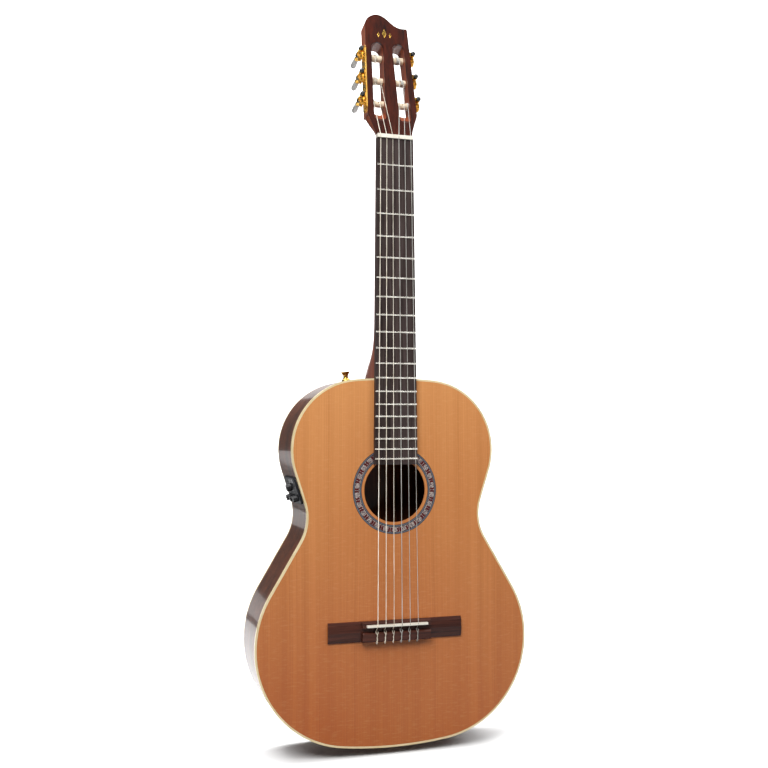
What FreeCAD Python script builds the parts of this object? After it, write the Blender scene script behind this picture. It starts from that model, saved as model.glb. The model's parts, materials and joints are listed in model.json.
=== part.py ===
"""Classical guitar with a slotted head and a side-mounted preamp.

Frame: Z runs up the neck, the soundboard faces -Y and +X is the treble side.
The origin is the mouth of the end-pin jack, so the tail of the body lies at
Z = jack_standoff.  All sizes are millimetres.
"""
import FreeCAD, Part
import math
import os
import Sketcher
from FreeCAD import Placement, Rotation, Vector

SIZES = [
    # body outline: the lower bout is placed from the tail, the rest from the top
    ("body_length", 488.0), ("lower_half_width", 188.0), ("lower_radius", 133.0),
    ("lower_height", 136.5), ("waist_half_width", 120.5), ("waist_radius", 62.0),
    ("waist_from_top", 184.0), ("upper_half_width", 141.0), ("upper_radius", 94.0),
    ("upper_from_top", 96.0), ("body_depth", 92.0),
    # shell
    ("soundboard_thickness", 2.5), ("back_thickness", 2.5), ("side_thickness", 2.5),
    ("binding_width", 2.6), ("binding_height", 5.0), ("lining_width", 5.5),
    ("lining_height", 13.0), ("hole_radius", 42.7), ("hole_below_board", 34.3),
    ("rosette_inner_radius", 46.3), ("rosette_outer_radius", 58.5),
    ("rosette_thickness", 1.0),
    # blocks and braces
    ("neck_block_half_width", 68.0), ("neck_block_length", 58.0),
    ("tail_block_half_width", 40.0), ("tail_block_length", 20.0),
    ("bar_width", 7.0), ("bar_height", 13.0), ("bar_to_rosette", 7.0), ("bar_below_hole", 14.0),
    ("fan_width", 5.0), ("fan_height", 5.0), ("fan_count", 7.0), ("fan_top_pitch", 15.0),
    ("fan_low_pitch", 33.0), ("fan_step", 6.0), ("fan_end_gap", 34.0),
    ("back_brace_width", 8.0), ("back_brace_height", 14.0), ("low_back_brace", 100.0),
    ("middle_back_brace", 216.0), ("top_back_brace_from_top", 104.0),
    # bridge and strings
    ("scale_length", 650.0), ("saddle_offset", 2.0), ("bridge_half_length", 92.5),
    ("bridge_below_saddle", 21.0), ("bridge_above_saddle", 5.5),
    ("bridge_wing_height", 4.0), ("bridge_block_half_length", 47.3),
    ("tie_block_height", 9.0), ("tie_block_width", 12.0), ("tie_channel_floor", 3.6),
    ("tie_hole_rise", 5.0), ("tie_hole_radius", 0.9), ("saddle_bed_height", 8.0),
    ("saddle_half_length", 42.0), ("saddle_thickness", 2.8), ("saddle_slot_floor", 2.0),
    ("saddle_top", 12.5), ("pickup_thickness", 1.0), ("string_notch", 0.25),
    ("saddle_string_spread", 56.0), ("nut_string_spread", 42.6), ("string_action", 0.8),
    # neck
    ("nut_width", 51.0), ("twelfth_fret_width", 57.5), ("fingerboard_thickness", 6.5),
    ("board_overhang", 7.9), ("fret_count", 19.0), ("fret_crown_width", 2.2),
    ("fret_crown_height", 1.1), ("fret_tang_width", 0.6), ("fret_tang_depth", 2.5),
    ("fret_end_gap", 0.2), ("nut_thickness", 5.0), ("nut_rise", 2.7),
    ("neck_depth_at_nut", 15.5), ("neck_depth_at_body", 18.5), ("heel_cap_thickness", 3.0),
    ("rod_width", 6.0), ("rod_depth", 9.0), ("rod_end_gap", 6.0),
    # head
    ("head_tilt", 12.5), ("head_thickness", 20.0), ("veneer_thickness", 2.5),
    ("head_half_width", 35.2), ("head_top_half_width", 30.6), ("head_shoulder", 34.0),
    ("head_square_length", 168.0), ("slot_start", 33.0), ("slot_end", 143.3),
    ("slot_width", 17.4), ("slot_centre_low", 17.8), ("slot_centre_high", 15.3),
    ("ramp_length", 12.0), ("ramp_depth", 12.4),
    # tuning machines
    ("first_roller", 53.0), ("roller_spacing", 35.7), ("roller_radius", 4.7),
    ("roller_end_gap", 0.5), ("spindle_radius", 1.6), ("spindle_seat", 3.5),
    ("string_hole_radius", 0.9), ("roller_gap", 0.35), ("mesh_gap", 0.15),
    ("plate_thickness", 1.5), ("plate_width", 15.0), ("plate_margin", 8.0),
    ("worm_stand", 6.0), ("gear_tip_radius", 6.4), ("gear_root_radius", 4.95),
    ("gear_thickness", 3.0), ("gear_teeth", 14.0), ("hub_radius", 3.2),
    ("gear_screw_radius", 2.4), ("worm_tip_radius", 2.9), ("worm_root_radius", 1.85),
    ("worm_shaft_radius", 1.3), ("lug_thickness", 2.6), ("lug_width", 6.4),
    ("lug_span", 11.0), ("running_clearance", 0.06), ("end_play", 0.4),
    ("cap_radius", 3.3), ("cap_height", 4.2), ("bush_radius", 3.9), ("collar_length", 12.5),
    ("button_length", 20.5), ("button_radius", 3.9), ("tang_length", 9.0),
    ("tuner_screw_radius", 1.0), ("tuner_screw_head_radius", 2.6),
    ("tuner_screw_length", 9.0), ("tuner_screw_inset", 3.4), ("tuner_screw_step", 11.0),
    # fittings
    ("jack_standoff", 10.0), ("jack_bore_radius", 3.25), ("jack_barrel_radius", 5.9),
    ("jack_flange_radius", 7.2), ("jack_length", 44.0), ("jack_nut_radius", 8.6),
    ("jack_nut_thickness", 3.0), ("strap_button_x", -55.5), ("strap_button_height", 12.7),
    ("strap_button_base_radius", 6.35), ("strap_button_waist_radius", 3.3),
    ("strap_screw_radius", 1.6), ("strap_screw_length", 26.0),
    # preamp
    ("panel_width", 64.0), ("panel_height", 37.0), ("panel_thickness", 3.0),
    ("panel_corner", 4.0), ("panel_front_gap", 7.5), ("panel_drop", 4.5),
    ("housing_width", 56.0), ("housing_height", 30.0), ("housing_depth", 40.0),
    ("housing_wall", 2.0), ("knob_radius", 4.4), ("volume_knob_radius", 5.4),
    ("knob_height", 6.5), ("knob_spacing", 21.0), ("upper_row", 5.0), ("lower_row", -9.5),
    ("knob_shaft_radius", 1.6), ("pot_radius", 3.2), ("pot_depth", 7.0),
    ("key_width", 7.0), ("key_height", 4.6), ("window_x", 8.0), ("window_y", 13.4),
    ("window_width", 22.0), ("window_height", 5.0), ("board_thickness", 1.6),
    ("battery_width", 48.5), ("battery_height", 17.5), ("battery_depth", 26.5),
]

doc = FreeCAD.newDocument("ClassicalGuitar")
sheet = doc.addObject("Spreadsheet::Sheet", "Sizes")
for row, (alias, value) in enumerate(SIZES, start=1):
    sheet.set("A%d" % row, alias)
    sheet.set("B%d" % row, repr(value))
    sheet.setAlias("B%d" % row, alias)
doc.recompute()


def size(alias):
    """Value of a named size in the sheet."""
    return float(getattr(sheet, alias))


nodes = {}
far = 400.0    # reach of cutting blocks, past everything they trim

# ---------------------------------------------------------------- placements
tail = size("jack_standoff")
front = -size("body_depth") / 2.0
back = size("body_depth") / 2.0
under_front = front + size("soundboard_thickness")
under_back = back - size("back_thickness")
body_top = tail + size("body_length")
lining_inset = max(size("side_thickness"), size("binding_width"))
cavity_inset = lining_inset + size("lining_width")
nut_z = body_top + size("scale_length") / 2.0
neck_end_z = nut_z + size("nut_thickness")
board_face = front - size("fingerboard_thickness")
saddle_z = nut_z - size("scale_length") - size("saddle_offset")
fret_heights = [nut_z - size("scale_length") * (1.0 - 2.0 ** (-n / 12.0))
                for n in range(1, int(size("fret_count")) + 1)]
board_low = fret_heights[-1] - size("board_overhang")
hole_z = board_low - size("hole_below_board")


def on_front(z, rise, x=0.0):
    """Point a given height in front of the soundboard."""
    return Vector(x, front - rise, z)


# ------------------------------------------------------------- body outline
def outline_geometry():
    """Centres and tangent angles of the half outline, in degrees."""
    low_r, low_z = size("lower_radius"), size("lower_height")
    low_x = size("lower_half_width") - low_r
    length = size("body_length")
    up_r, up_z = size("upper_radius"), length - size("upper_from_top")
    up_x = size("upper_half_width") - up_r
    waist_r = size("waist_radius")
    waist_x = size("waist_half_width") + waist_r
    waist_z = length - size("waist_from_top")
    tail_r = (low_x ** 2 + low_z ** 2 - low_r ** 2) / (2.0 * (low_z - low_r))
    drop = length - up_z
    shoulder_r = (up_x ** 2 + drop ** 2 - up_r ** 2) / (2.0 * (drop - up_r))

    def inner_tangent(x, z, r, side):
        dx, dz = waist_x - x, waist_z - z
        swing = math.degrees(math.acos((r + waist_r) / math.hypot(dx, dz)))
        return math.degrees(math.atan2(dz, dx)) - side * swing

    return {
        "tail": (0.0, tail_r, tail_r),
        "low": (low_x, low_z, low_r),
        "waist": (waist_x, waist_z, waist_r),
        "up": (up_x, up_z, up_r),
        "shoulder": (0.0, length - shoulder_r, shoulder_r),
        "a_tail": math.degrees(math.atan2(low_z - tail_r, low_x)),
        "a_low": inner_tangent(low_x, low_z, low_r, 1.0),
        "a_up": inner_tangent(up_x, up_z, up_r, -1.0),
        "a_top": math.degrees(math.atan2(up_z - (length - shoulder_r), up_x)),
    }


SHAPE = outline_geometry()


def polar(centre, radius, angle):
    turn = math.radians(angle)
    return (centre[0] + radius * math.cos(turn), centre[1] + radius * math.sin(turn))


def right_half(inset):
    """Segments from the tail centre to the top centre, treble side, moved inwards."""
    arcs = [
        ("tail", -inset, -90.0, SHAPE["a_tail"], None),
        ("low", -inset, SHAPE["a_tail"], SHAPE["a_low"], "lower_radius"),
        ("waist", inset, SHAPE["a_low"] + 180.0, SHAPE["a_up"] + 180.0, "waist_radius"),
        ("up", -inset, SHAPE["a_up"], SHAPE["a_top"], "upper_radius"),
        ("shoulder", -inset, SHAPE["a_top"], 90.0, None),
    ]
    segments = []
    last = None
    for name, grow, start, end, alias in arcs:
        x, z, r = SHAPE[name]
        centre, radius = (x, z + tail), r + grow
        first = polar(centre, radius, start)
        if last is not None and math.dist(first, last) > 1e-6:
            segments.append(("line", last, first))
        rule = None
        if alias is not None:
            rule = "Sizes.%s %s %r" % (alias, "+" if grow >= 0.0 else "-", abs(grow))
        segments.append(("arc", centre, radius, start, end, rule))
        last = polar(centre, radius, end)
    return segments


def mirrored(segments):
    """The same chain on the bass side, walked the other way."""
    result = []
    for seg in reversed(segments):
        if seg[0] == "line":
            result.append(("line", (-seg[2][0], seg[2][1]), (-seg[1][0], seg[1][1])))
        else:
            _, centre, radius, start, end, rule = seg
            result.append(("arc", (-centre[0], centre[1]), radius,
                           180.0 - end, 180.0 - start, rule))
    return result


def reverse(segments):
    result = []
    for seg in reversed(segments):
        if seg[0] == "line":
            result.append(("line", seg[2], seg[1]))
        else:
            result.append(("arc", seg[1], seg[2], seg[4], seg[3], seg[5]))
    return result


def full_outline(inset):
    half = right_half(inset)
    return half + mirrored(half)


def ends(seg):
    if seg[0] == "line":
        return seg[1], seg[2]
    return polar(seg[1], seg[2], seg[3]), polar(seg[1], seg[2], seg[4])


def polygon(points):
    return [("line", points[i], points[(i + 1) % len(points)]) for i in range(len(points))]


def side_loop(outer, inner, sign):
    """Closed strip between two insets on one side of the centre line."""
    outside = right_half(outer)
    inside = reverse(right_half(inner))
    loop = outside + [("line", ends(outside[-1])[1], ends(inside[0])[0])] + inside
    loop.append(("line", ends(inside[-1])[1], ends(outside[0])[0]))
    return loop if sign > 0 else mirrored(loop)


def wire(segments, y):
    """Segments as a wire in the plane Y = y."""
    edges = []
    for seg in segments:
        first, last = ends(seg)
        a, b = Vector(first[0], y, first[1]), Vector(last[0], y, last[1])
        if seg[0] == "line":
            edges.append(Part.LineSegment(a, b).toShape())
        else:
            mid = polar(seg[1], seg[2], (seg[3] + seg[4]) / 2.0)
            edges.append(Part.Arc(a, Vector(mid[0], y, mid[1]), b).toShape())
    return Part.Wire(edges)


def slab(inset, y0, y1):
    """Body outline moved inwards and filled from y0 to y1."""
    return Part.Face(wire(full_outline(inset), y0)).extrude(Vector(0, y1 - y0, 0))


# -------------------------------------------------------------- build helpers
def add_loop(sketch, loop):
    """Draw one closed loop of segments, or a circle, with its radii ruled by the sheet."""
    if loop[0] == "circle":
        _, centre, radius, alias = loop
        circle = Part.Circle(Vector(centre[0], centre[1], 0), Vector(0, 0, 1), radius)
        index = sketch.addGeometry(circle, False)
        rule = sketch.addConstraint(Sketcher.Constraint("Radius", index, radius))
        if alias:
            sketch.setExpression("Constraints[%d]" % rule, "Sizes.%s" % alias)
        return
    drawn = []
    for seg in loop:
        if seg[0] == "line":
            a, b = (Vector(p[0], p[1], 0) for p in seg[1:3])
            drawn.append((sketch.addGeometry(Part.LineSegment(a, b), False), 1, 2, None))
            continue
        _, centre, radius, start, end, rule = seg
        circle = Part.Circle(Vector(centre[0], centre[1], 0), Vector(0, 0, 1), radius)
        low, high = math.radians(min(start, end)), math.radians(max(start, end))
        index = sketch.addGeometry(Part.ArcOfCircle(circle, low, high), False)
        drawn.append((index, 1, 2, (radius, rule)) if end > start
                     else (index, 2, 1, (radius, rule)))
    for here, after in zip(drawn, drawn[1:] + drawn[:1]):
        sketch.addConstraint(Sketcher.Constraint("Coincident", here[0], here[2],
                                                 after[0], after[1]))
    for index, _, _, arc in drawn:
        if arc and arc[1]:
            rule = sketch.addConstraint(Sketcher.Constraint("Radius", index, arc[0]))
            sketch.setExpression("Constraints[%d]" % rule, arc[1])


def sketch_on(body, name, loops, lift=0.0, role="XZ_Plane"):
    sketch = body.newObject("Sketcher::SketchObject", name)
    plane = [f for f in body.Origin.OriginFeatures if f.Role == role][0]
    sketch.AttachmentSupport = [(plane, "")]
    sketch.MapMode = "FlatFace"
    sketch.AttachmentOffset = Placement(Vector(0, 0, lift), Rotation())
    for loop in loops:
        add_loop(sketch, loop)
    return sketch


def padded_body(node, loops, y_back, length_rule):
    """Body whose sketch lies in the plane Y = y_back and is padded towards -Y."""
    body = doc.addObject("PartDesign::Body", node)
    body.Label = node
    sketch = sketch_on(body, node + "_outline", loops)
    pad = body.newObject("PartDesign::Pad", node + "_pad")
    pad.Profile = sketch
    pad.setExpression("Length", length_rule)
    body.Placement = Placement(Vector(0, y_back, 0), Rotation())
    nodes[node] = body
    return body


def pocket(body, name, loops, lift, depth_rule):
    sketch = sketch_on(body, name + "_outline", loops, lift)
    cut = body.newObject("PartDesign::Pocket", name)
    cut.Profile = sketch
    cut.setExpression("Length", depth_rule)
    return cut


def box(name, sizes, corner, rotation=None):
    """Part::Box with its three sides ruled by expressions."""
    item = doc.addObject("Part::Box", name)
    for side, rule in zip(("Length", "Width", "Height"), sizes):
        item.setExpression(side, rule)
    item.Placement = Placement(corner, rotation or Rotation())
    return item


def feature(name, shape, placement=None):
    item = doc.addObject("Part::Feature", name)
    item.Shape = shape
    if placement is not None:
        item.Placement = placement
    return item


def publish(node, item):
    item.Label = node
    nodes[node] = item
    return item


def cut_from(node, base, tools):
    """Part::Cut of a base object by one or more tool shapes."""
    tool = feature(node + "_tools", Part.makeCompound(tools))
    item = doc.addObject("Part::Cut", node)
    item.Base = base
    item.Tool = tool
    return publish(node, item)


def kept_inside(node, base, region):
    """Part::Common of a base object and a region."""
    tool = feature(node + "_region", region)
    item = doc.addObject("Part::Common", node)
    item.Base = base
    item.Tool = tool
    return publish(node, item)


def cylinder(start, axis, radius, length):
    return Part.makeCylinder(radius, length, start, axis)


def centred_box(dx, dy, dz, centre):
    return Part.makeBox(dx, dy, dz, centre - Vector(dx / 2.0, dy / 2.0, dz / 2.0))


# ------------------------------------------------------------- strap fittings
strap_x = size("strap_button_x")
_, shoulder_centre, shoulder_radius = SHAPE["shoulder"]
strap_lean = math.degrees(math.asin(strap_x / shoulder_radius))
strap_frame = Placement(
    Vector(strap_x, 0.0, tail + shoulder_centre + math.sqrt(shoulder_radius ** 2 - strap_x ** 2)),
    Rotation(Vector(0, 1, 0), strap_lean))
base_r, waist_r = size("strap_button_base_radius"), size("strap_button_waist_radius")
button_h = size("strap_button_height")
flange_r = base_r * 0.92
screw_r = size("strap_screw_radius")
screw_head_r = screw_r * 1.9
screw_head_depth = screw_r * 1.125


def revolved(points, placement=None):
    """Solid of revolution about local Z from (radius, height) points."""
    edges = [Vector(r, 0, h) for r, h in points]
    face = Part.Face(Part.makePolygon(edges + [edges[0]]))
    solid = face.revolve(Vector(0, 0, 0), Vector(0, 0, 1), 360.0)
    if placement is not None:
        solid = solid.transformGeometry(placement.toMatrix())
    return solid


def turned_curve(points, placement=None):
    """Solid of revolution whose outer edge is a smooth curve through the points."""
    curve = Part.BSplineCurve()
    curve.interpolate([Vector(r, 0, h) for r, h in points])
    low, high = points[0], points[-1]
    edges = [curve.toShape()]
    if high[0] > 1e-6:
        edges.append(Part.makeLine(Vector(high[0], 0, high[1]), Vector(0, 0, high[1])))
    edges.append(Part.makeLine(Vector(0, 0, high[1]), Vector(0, 0, low[1])))
    if low[0] > 1e-6:
        edges.append(Part.makeLine(Vector(0, 0, low[1]), Vector(low[0], 0, low[1])))
    solid = Part.Face(Part.Wire(edges)).revolve(Vector(0, 0, 0), Vector(0, 0, 1), 360.0)
    if placement is not None:
        solid = solid.copy()
        solid.Placement = placement
    return solid


def placed(shape, placement):
    """Copy of a shape carried rigidly into a frame."""
    moved = shape.copy()
    moved.Placement = placement.multiply(shape.Placement)
    return moved


strap_curve = [(base_r, 0.0), (base_r * 0.93, button_h * 0.10), (waist_r * 1.15, button_h * 0.30),
               (waist_r, button_h * 0.50), (waist_r * 1.15, button_h * 0.68),
               (flange_r * 0.94, button_h * 0.86), (flange_r, button_h)]
strap_screw = Part.makeCylinder(screw_r, size("strap_screw_length"),
                                Vector(0, 0, button_h - screw_head_depth), Vector(0, 0, -1))
strap_head = Part.makeCone(screw_r, screw_head_r, screw_head_depth,
                           Vector(0, 0, button_h - screw_head_depth))
strap_screw = strap_screw.fuse(strap_head).removeSplitter()
screw_slot = centred_box(0.6, screw_head_r * 3, 1.6, Vector(0, 0, button_h))
strap_body = turned_curve(strap_curve).cut(strap_screw)
strap_screw_solid = strap_screw.cut(screw_slot)
strap_screw_hole = placed(strap_screw, strap_frame)
outer_body = slab(0.0, front, back)

# ------------------------------------------------------------ preamp geometry
flank_angle = SHAPE["a_up"]
up_x, up_zc, up_r = SHAPE["up"]
wa_x, wa_z, wa_r = SHAPE["waist"]
flank_top = polar((up_x, up_zc + tail), up_r, flank_angle)
flank_low = polar((wa_x, wa_z + tail), wa_r, flank_angle + 180.0)
flank_mid = ((flank_top[0] + flank_low[0]) / 2.0, (flank_top[1] + flank_low[1]) / 2.0)
lean = math.radians(flank_angle)
along = Vector(math.sin(lean), 0, math.cos(lean))
outward = Vector(-math.cos(lean), 0, math.sin(lean))
toward_front = Vector(0, -1, 0)
panel_y = front + size("panel_front_gap") + size("panel_width") / 2.0
panel_origin = Vector(-flank_mid[0], panel_y, flank_mid[1]) - along * size("panel_drop")
panel_frame = Placement(panel_origin, Rotation(toward_front, along, outward, "ZXY"))


def in_panel(shape):
    return placed(shape, panel_frame)


housing_w, housing_h = size("housing_width"), size("housing_height")
housing_d, housing_wall = size("housing_depth"), size("housing_wall")
housing_block = centred_box(housing_w, housing_h, housing_d, Vector(0, 0, -housing_d / 2.0))

# ------------------------------------------------------------------- the shell
hole_loop = ("circle", (0.0, hole_z), size("hole_radius"), "hole_radius")
soundboard = padded_body("soundboard", [full_outline(size("binding_width")), hole_loop],
                         under_front, "Sizes.soundboard_thickness")
ring_loops = [("circle", (0.0, hole_z), size("rosette_outer_radius"), "rosette_outer_radius"),
              ("circle", (0.0, hole_z), size("rosette_inner_radius"), "rosette_inner_radius")]
pocket(soundboard, "rosette_channel", ring_loops, size("soundboard_thickness"),
       "Sizes.rosette_thickness")
padded_body("rosette", ring_loops, front + size("rosette_thickness"), "Sizes.rosette_thickness")
padded_body("back_plate", [full_outline(size("binding_width"))], back, "Sizes.back_thickness")
binding_loops = [full_outline(0.0), full_outline(size("binding_width"))]
binding_rings = [padded_body("front_ring", binding_loops, front + size("binding_height"),
                             "Sizes.binding_height"),
                 padded_body("back_ring", binding_loops, back, "Sizes.binding_height")]
del nodes["front_ring"], nodes["back_ring"]
rings = doc.addObject("Part::Compound", "binding_rings")
rings.Links = binding_rings
publish("body_bindings", rings)

side_rule = "Sizes.body_depth - 2 * Sizes.binding_height"
side_back = back - size("binding_height")
treble_shell = padded_body("treble_side_bent", [side_loop(0.0, size("side_thickness"), 1)],
                           side_back, side_rule)
bass_shell = padded_body("bass_side_bent", [side_loop(0.0, size("side_thickness"), -1)],
                         side_back, side_rule)
del nodes["treble_side_bent"], nodes["bass_side_bent"]
jack_hole = cylinder(Vector(0, 0, -1), Vector(0, 0, 1), size("jack_barrel_radius"), 90.0)
cut_from("treble_side", treble_shell, [jack_hole])
cut_from("bass_side", bass_shell, [jack_hole, in_panel(housing_block), strap_screw_hole])

# linings, blocks and braces inside the body
interior = slab(lining_inset, under_front, under_back)
cavity = slab(cavity_inset, under_front, under_back)
neck_block_box = box("neck_block_blank",
                     ("2 * Sizes.neck_block_half_width",
                      "Sizes.body_depth - Sizes.soundboard_thickness - Sizes.back_thickness",
                      "Sizes.neck_block_length"),
                     Vector(-size("neck_block_half_width"), under_front,
                            body_top - lining_inset - size("neck_block_length")))
tail_block_box = box("tail_block_blank",
                     ("2 * Sizes.tail_block_half_width",
                      "Sizes.body_depth - Sizes.soundboard_thickness - Sizes.back_thickness",
                      "Sizes.tail_block_length + 0.001"),
                     Vector(-size("tail_block_half_width"), under_front, tail + lining_inset))
doc.recompute()
block_space = [neck_block_box.Shape.copy(), tail_block_box.Shape.copy()]
kept_inside("neck_block", neck_block_box, interior.cut(strap_screw_hole))
kept_inside("tail_block", tail_block_box, interior.cut(jack_hole))

housing_space = in_panel(centred_box(housing_w, housing_h, housing_d + 20.0,
                                     Vector(0, 0, -housing_d / 2.0)))
lining_strips = []
for y0, y1 in ((under_front, under_front + size("lining_height")),
               (under_back - size("lining_height"), under_back)):
    ring = slab(lining_inset, y0, y1).cut(slab(cavity_inset, y0 - 1.0, y1 + 1.0))
    ring = ring.cut(block_space + [housing_space])
    lining_strips += ring.Solids
publish("kerfed_linings", feature("linings", Part.makeCompound(lining_strips)))

bar_w, bar_h = size("bar_width"), size("bar_height")
upper_bar_z = hole_z + size("rosette_outer_radius") + size("bar_to_rosette")
lower_bar_z = hole_z - size("hole_radius") - size("bar_below_hole")
front_braces = []
for z in (upper_bar_z, lower_bar_z):
    blank = Part.makeBox(2.0 * far, bar_h, bar_w, Vector(-far, under_front, z - bar_w / 2.0))
    front_braces += blank.common(cavity).cut(housing_space).Solids

fan_total = int(size("fan_count"))
fan_top = lower_bar_z - bar_w / 2.0
fan_end = tail + size("tail_block_length") + size("fan_end_gap")
below_bar = Part.makeBox(2.0 * far, far, fan_top, Vector(-far, under_front, 0.0))
for index in range(fan_total):
    spread = index - (fan_total - 1) / 2.0
    top = Vector(spread * size("fan_top_pitch"), under_front, fan_top)
    low = Vector(spread * size("fan_low_pitch"), under_front, fan_end + abs(spread) * size("fan_step"))
    run = low - top
    strip = Part.makeBox(size("fan_width"), size("fan_height"), run.Length,
                         Vector(-size("fan_width") / 2.0, 0, 0))
    turn = Rotation(Vector(0, 1, 0), math.degrees(math.atan2(run.x, run.z)))
    strip = placed(strip, Placement(top, turn))
    front_braces += strip.common(cavity).common(below_bar).Solids
publish("soundboard_braces", feature("soundboard_brace_set", Part.makeCompound(front_braces)))

back_bars = []
back_brace_h = size("back_brace_height")
for z in (tail + size("low_back_brace"), tail + size("middle_back_brace"),
          body_top - size("top_back_brace_from_top")):
    blank = Part.makeBox(2.0 * far, back_brace_h, size("back_brace_width"),
                         Vector(-far, under_back - back_brace_h, z))
    back_bars += blank.common(cavity).Solids
publish("back_braces", feature("back_bars", Part.makeCompound(back_bars)))

# --------------------------------------------------------------------- strings
string_radii = [0.55, 0.46, 0.38, 0.51, 0.41, 0.36]
nut_spread, saddle_spread = size("nut_string_spread"), size("saddle_string_spread")
tilt = math.radians(size("head_tilt"))
head_up = Vector(0, math.sin(tilt), math.cos(tilt))
head_out = Vector(0, -math.cos(tilt), math.sin(tilt))
head_origin = Vector(0, front, neck_end_z) + head_out * size("veneer_thickness")
head_frame = Placement(head_origin, Rotation(Vector(1, 0, 0), 90.0 - size("head_tilt")))
half_depth = (size("head_thickness") + size("veneer_thickness")) / 2.0


def in_head(x, s, n):
    """Point from the head's own axes: across, up the face, out of the face."""
    return head_origin + Vector(x, 0, 0) + head_up * s + head_out * n


roller_s = [size("first_roller") + k * size("roller_spacing") for k in (0, 1, 2)]
roller_drop = [-25.0, -21.5, -18.5]
string_specs = []
for index, radius in enumerate(string_radii):
    place = index / 5.0 - 0.5
    bass = index < 3
    slot_index = index if bass else 5 - index
    sign = -1.0 if bass else 1.0
    string_specs.append({
        "radius": radius,
        "saddle_x": place * saddle_spread,
        "nut_x": place * nut_spread,
        "end_s": roller_s[slot_index],
        "end_x": sign * abs(roller_drop[slot_index]),
        "end_n": -half_depth + size("roller_radius") + size("roller_gap") + radius,
    })


def rod(points, radius):
    """Round bar along straight runs, with a ball at each bend."""
    runs = []
    for a, b in zip(points, points[1:]):
        runs.append(cylinder(a, b - a, radius, (b - a).Length))
    body = runs[0].fuse(runs[1:] + [Part.makeSphere(radius, p) for p in points[1:-1]])
    return body.removeSplitter()


tie_hole_rise = size("tie_hole_rise")
low_z = saddle_z - size("bridge_below_saddle")
high_z = saddle_z + size("bridge_above_saddle")
nut_rest = size("fingerboard_thickness") + size("fret_crown_height") + size("string_action")
string_shapes = []
for spec in string_specs:
    r, x0, x1 = spec["radius"], spec["saddle_x"], spec["nut_x"]
    path = [on_front(low_z - 1.5, tie_hole_rise, x0),
            on_front(low_z + size("tie_block_width") + 1.0, tie_hole_rise, x0),
            on_front(saddle_z, size("saddle_top") + r, x0),
            on_front(nut_z + size("nut_thickness") / 2.0, nut_rest + r, x1),
            in_head(spec["end_x"], spec["end_s"], spec["end_n"])]
    spec["path"] = path
    string_shapes.append(rod(path, r))
for index, shape in enumerate(string_shapes):
    publish("string_%d" % (6 - index), feature("string_body_%d" % (6 - index), shape))

# ------------------------------------------------------- bridge, saddle, pickup
bridge_depth = high_z - low_z
block_half = size("bridge_block_half_length")
wing = size("bridge_wing_height")
tie_h, tie_w = size("tie_block_height"), size("tie_block_width")
bed = size("saddle_bed_height")
channel = size("tie_channel_floor")


def profile_bar(points, x0, x1):
    """Extrude a (z, rise) profile along X."""
    corners = [on_front(z, rise, x0) for z, rise in points]
    face = Part.Face(Part.makePolygon(corners + [corners[0]]))
    return face.extrude(Vector(x1 - x0, 0, 0))


saddle_half = size("saddle_thickness") / 2.0
centre_profile = [(low_z, 0.0), (low_z, tie_h - 1.2), (low_z + 1.2, tie_h),
                  (low_z + tie_w - 1.2, tie_h), (low_z + tie_w, tie_h - 1.2),
                  (low_z + tie_w + 1.0, channel), (saddle_z - saddle_half - 2.6, channel),
                  (saddle_z - saddle_half - 1.6, bed), (saddle_z + saddle_half + 1.6, bed),
                  (high_z, bed * 0.55), (high_z, 0.0)]
wing_profile = [(low_z, 0.0), (low_z, wing * 0.4), (low_z + bridge_depth * 0.16, wing * 0.85),
                (low_z + bridge_depth * 0.5, wing), (high_z - bridge_depth * 0.16, wing * 0.85),
                (high_z, wing * 0.4), (high_z, 0.0)]
bridge_solid = profile_bar(centre_profile, -block_half, block_half)
bridge_solid = bridge_solid.fuse(profile_bar(wing_profile, -size("bridge_half_length"),
                                             size("bridge_half_length"))).removeSplitter()
slot_floor = size("saddle_slot_floor")
saddle_half_length = size("saddle_half_length")
saddle_slot = Part.makeBox(2 * saddle_half_length, bed + 2.0, size("saddle_thickness"),
                           Vector(-saddle_half_length, front - slot_floor - bed - 2.0,
                                  saddle_z - saddle_half))
tie_holes = []
for spec in string_specs:
    tie_holes.append(cylinder(on_front(low_z - 2.0, tie_hole_rise, spec["saddle_x"]),
                              Vector(0, 0, 1), size("tie_hole_radius"), tie_w + 4.0))
bridge_solid = bridge_solid.cut([saddle_slot] + tie_holes + string_shapes)
publish("bridge", feature("bridge_body", bridge_solid))

pickup_rule = ("2 * Sizes.saddle_half_length", "Sizes.pickup_thickness", "Sizes.saddle_thickness")
publish("saddle_pickup", box("pickup_strip", pickup_rule,
                             Vector(-saddle_half_length,
                                    front - slot_floor - size("pickup_thickness"),
                                    saddle_z - saddle_half)))
saddle_box = box("saddle_blank",
                 ("2 * Sizes.saddle_half_length",
                  "Sizes.saddle_top + Sizes.string_notch - Sizes.saddle_slot_floor"
                  " - Sizes.pickup_thickness", "Sizes.saddle_thickness"),
                 Vector(-saddle_half_length, front - size("saddle_top") - size("string_notch"),
                        saddle_z - saddle_half))
cut_from("saddle", saddle_box, string_shapes)

# ---------------------------------------------------------- fingerboard, frets
taper = (size("twelfth_fret_width") - size("nut_width")) / size("scale_length")


def board_half(z):
    """Half width of the fingerboard at a height."""
    return size("nut_width") / 2.0 + taper * (nut_z - z)


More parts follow.
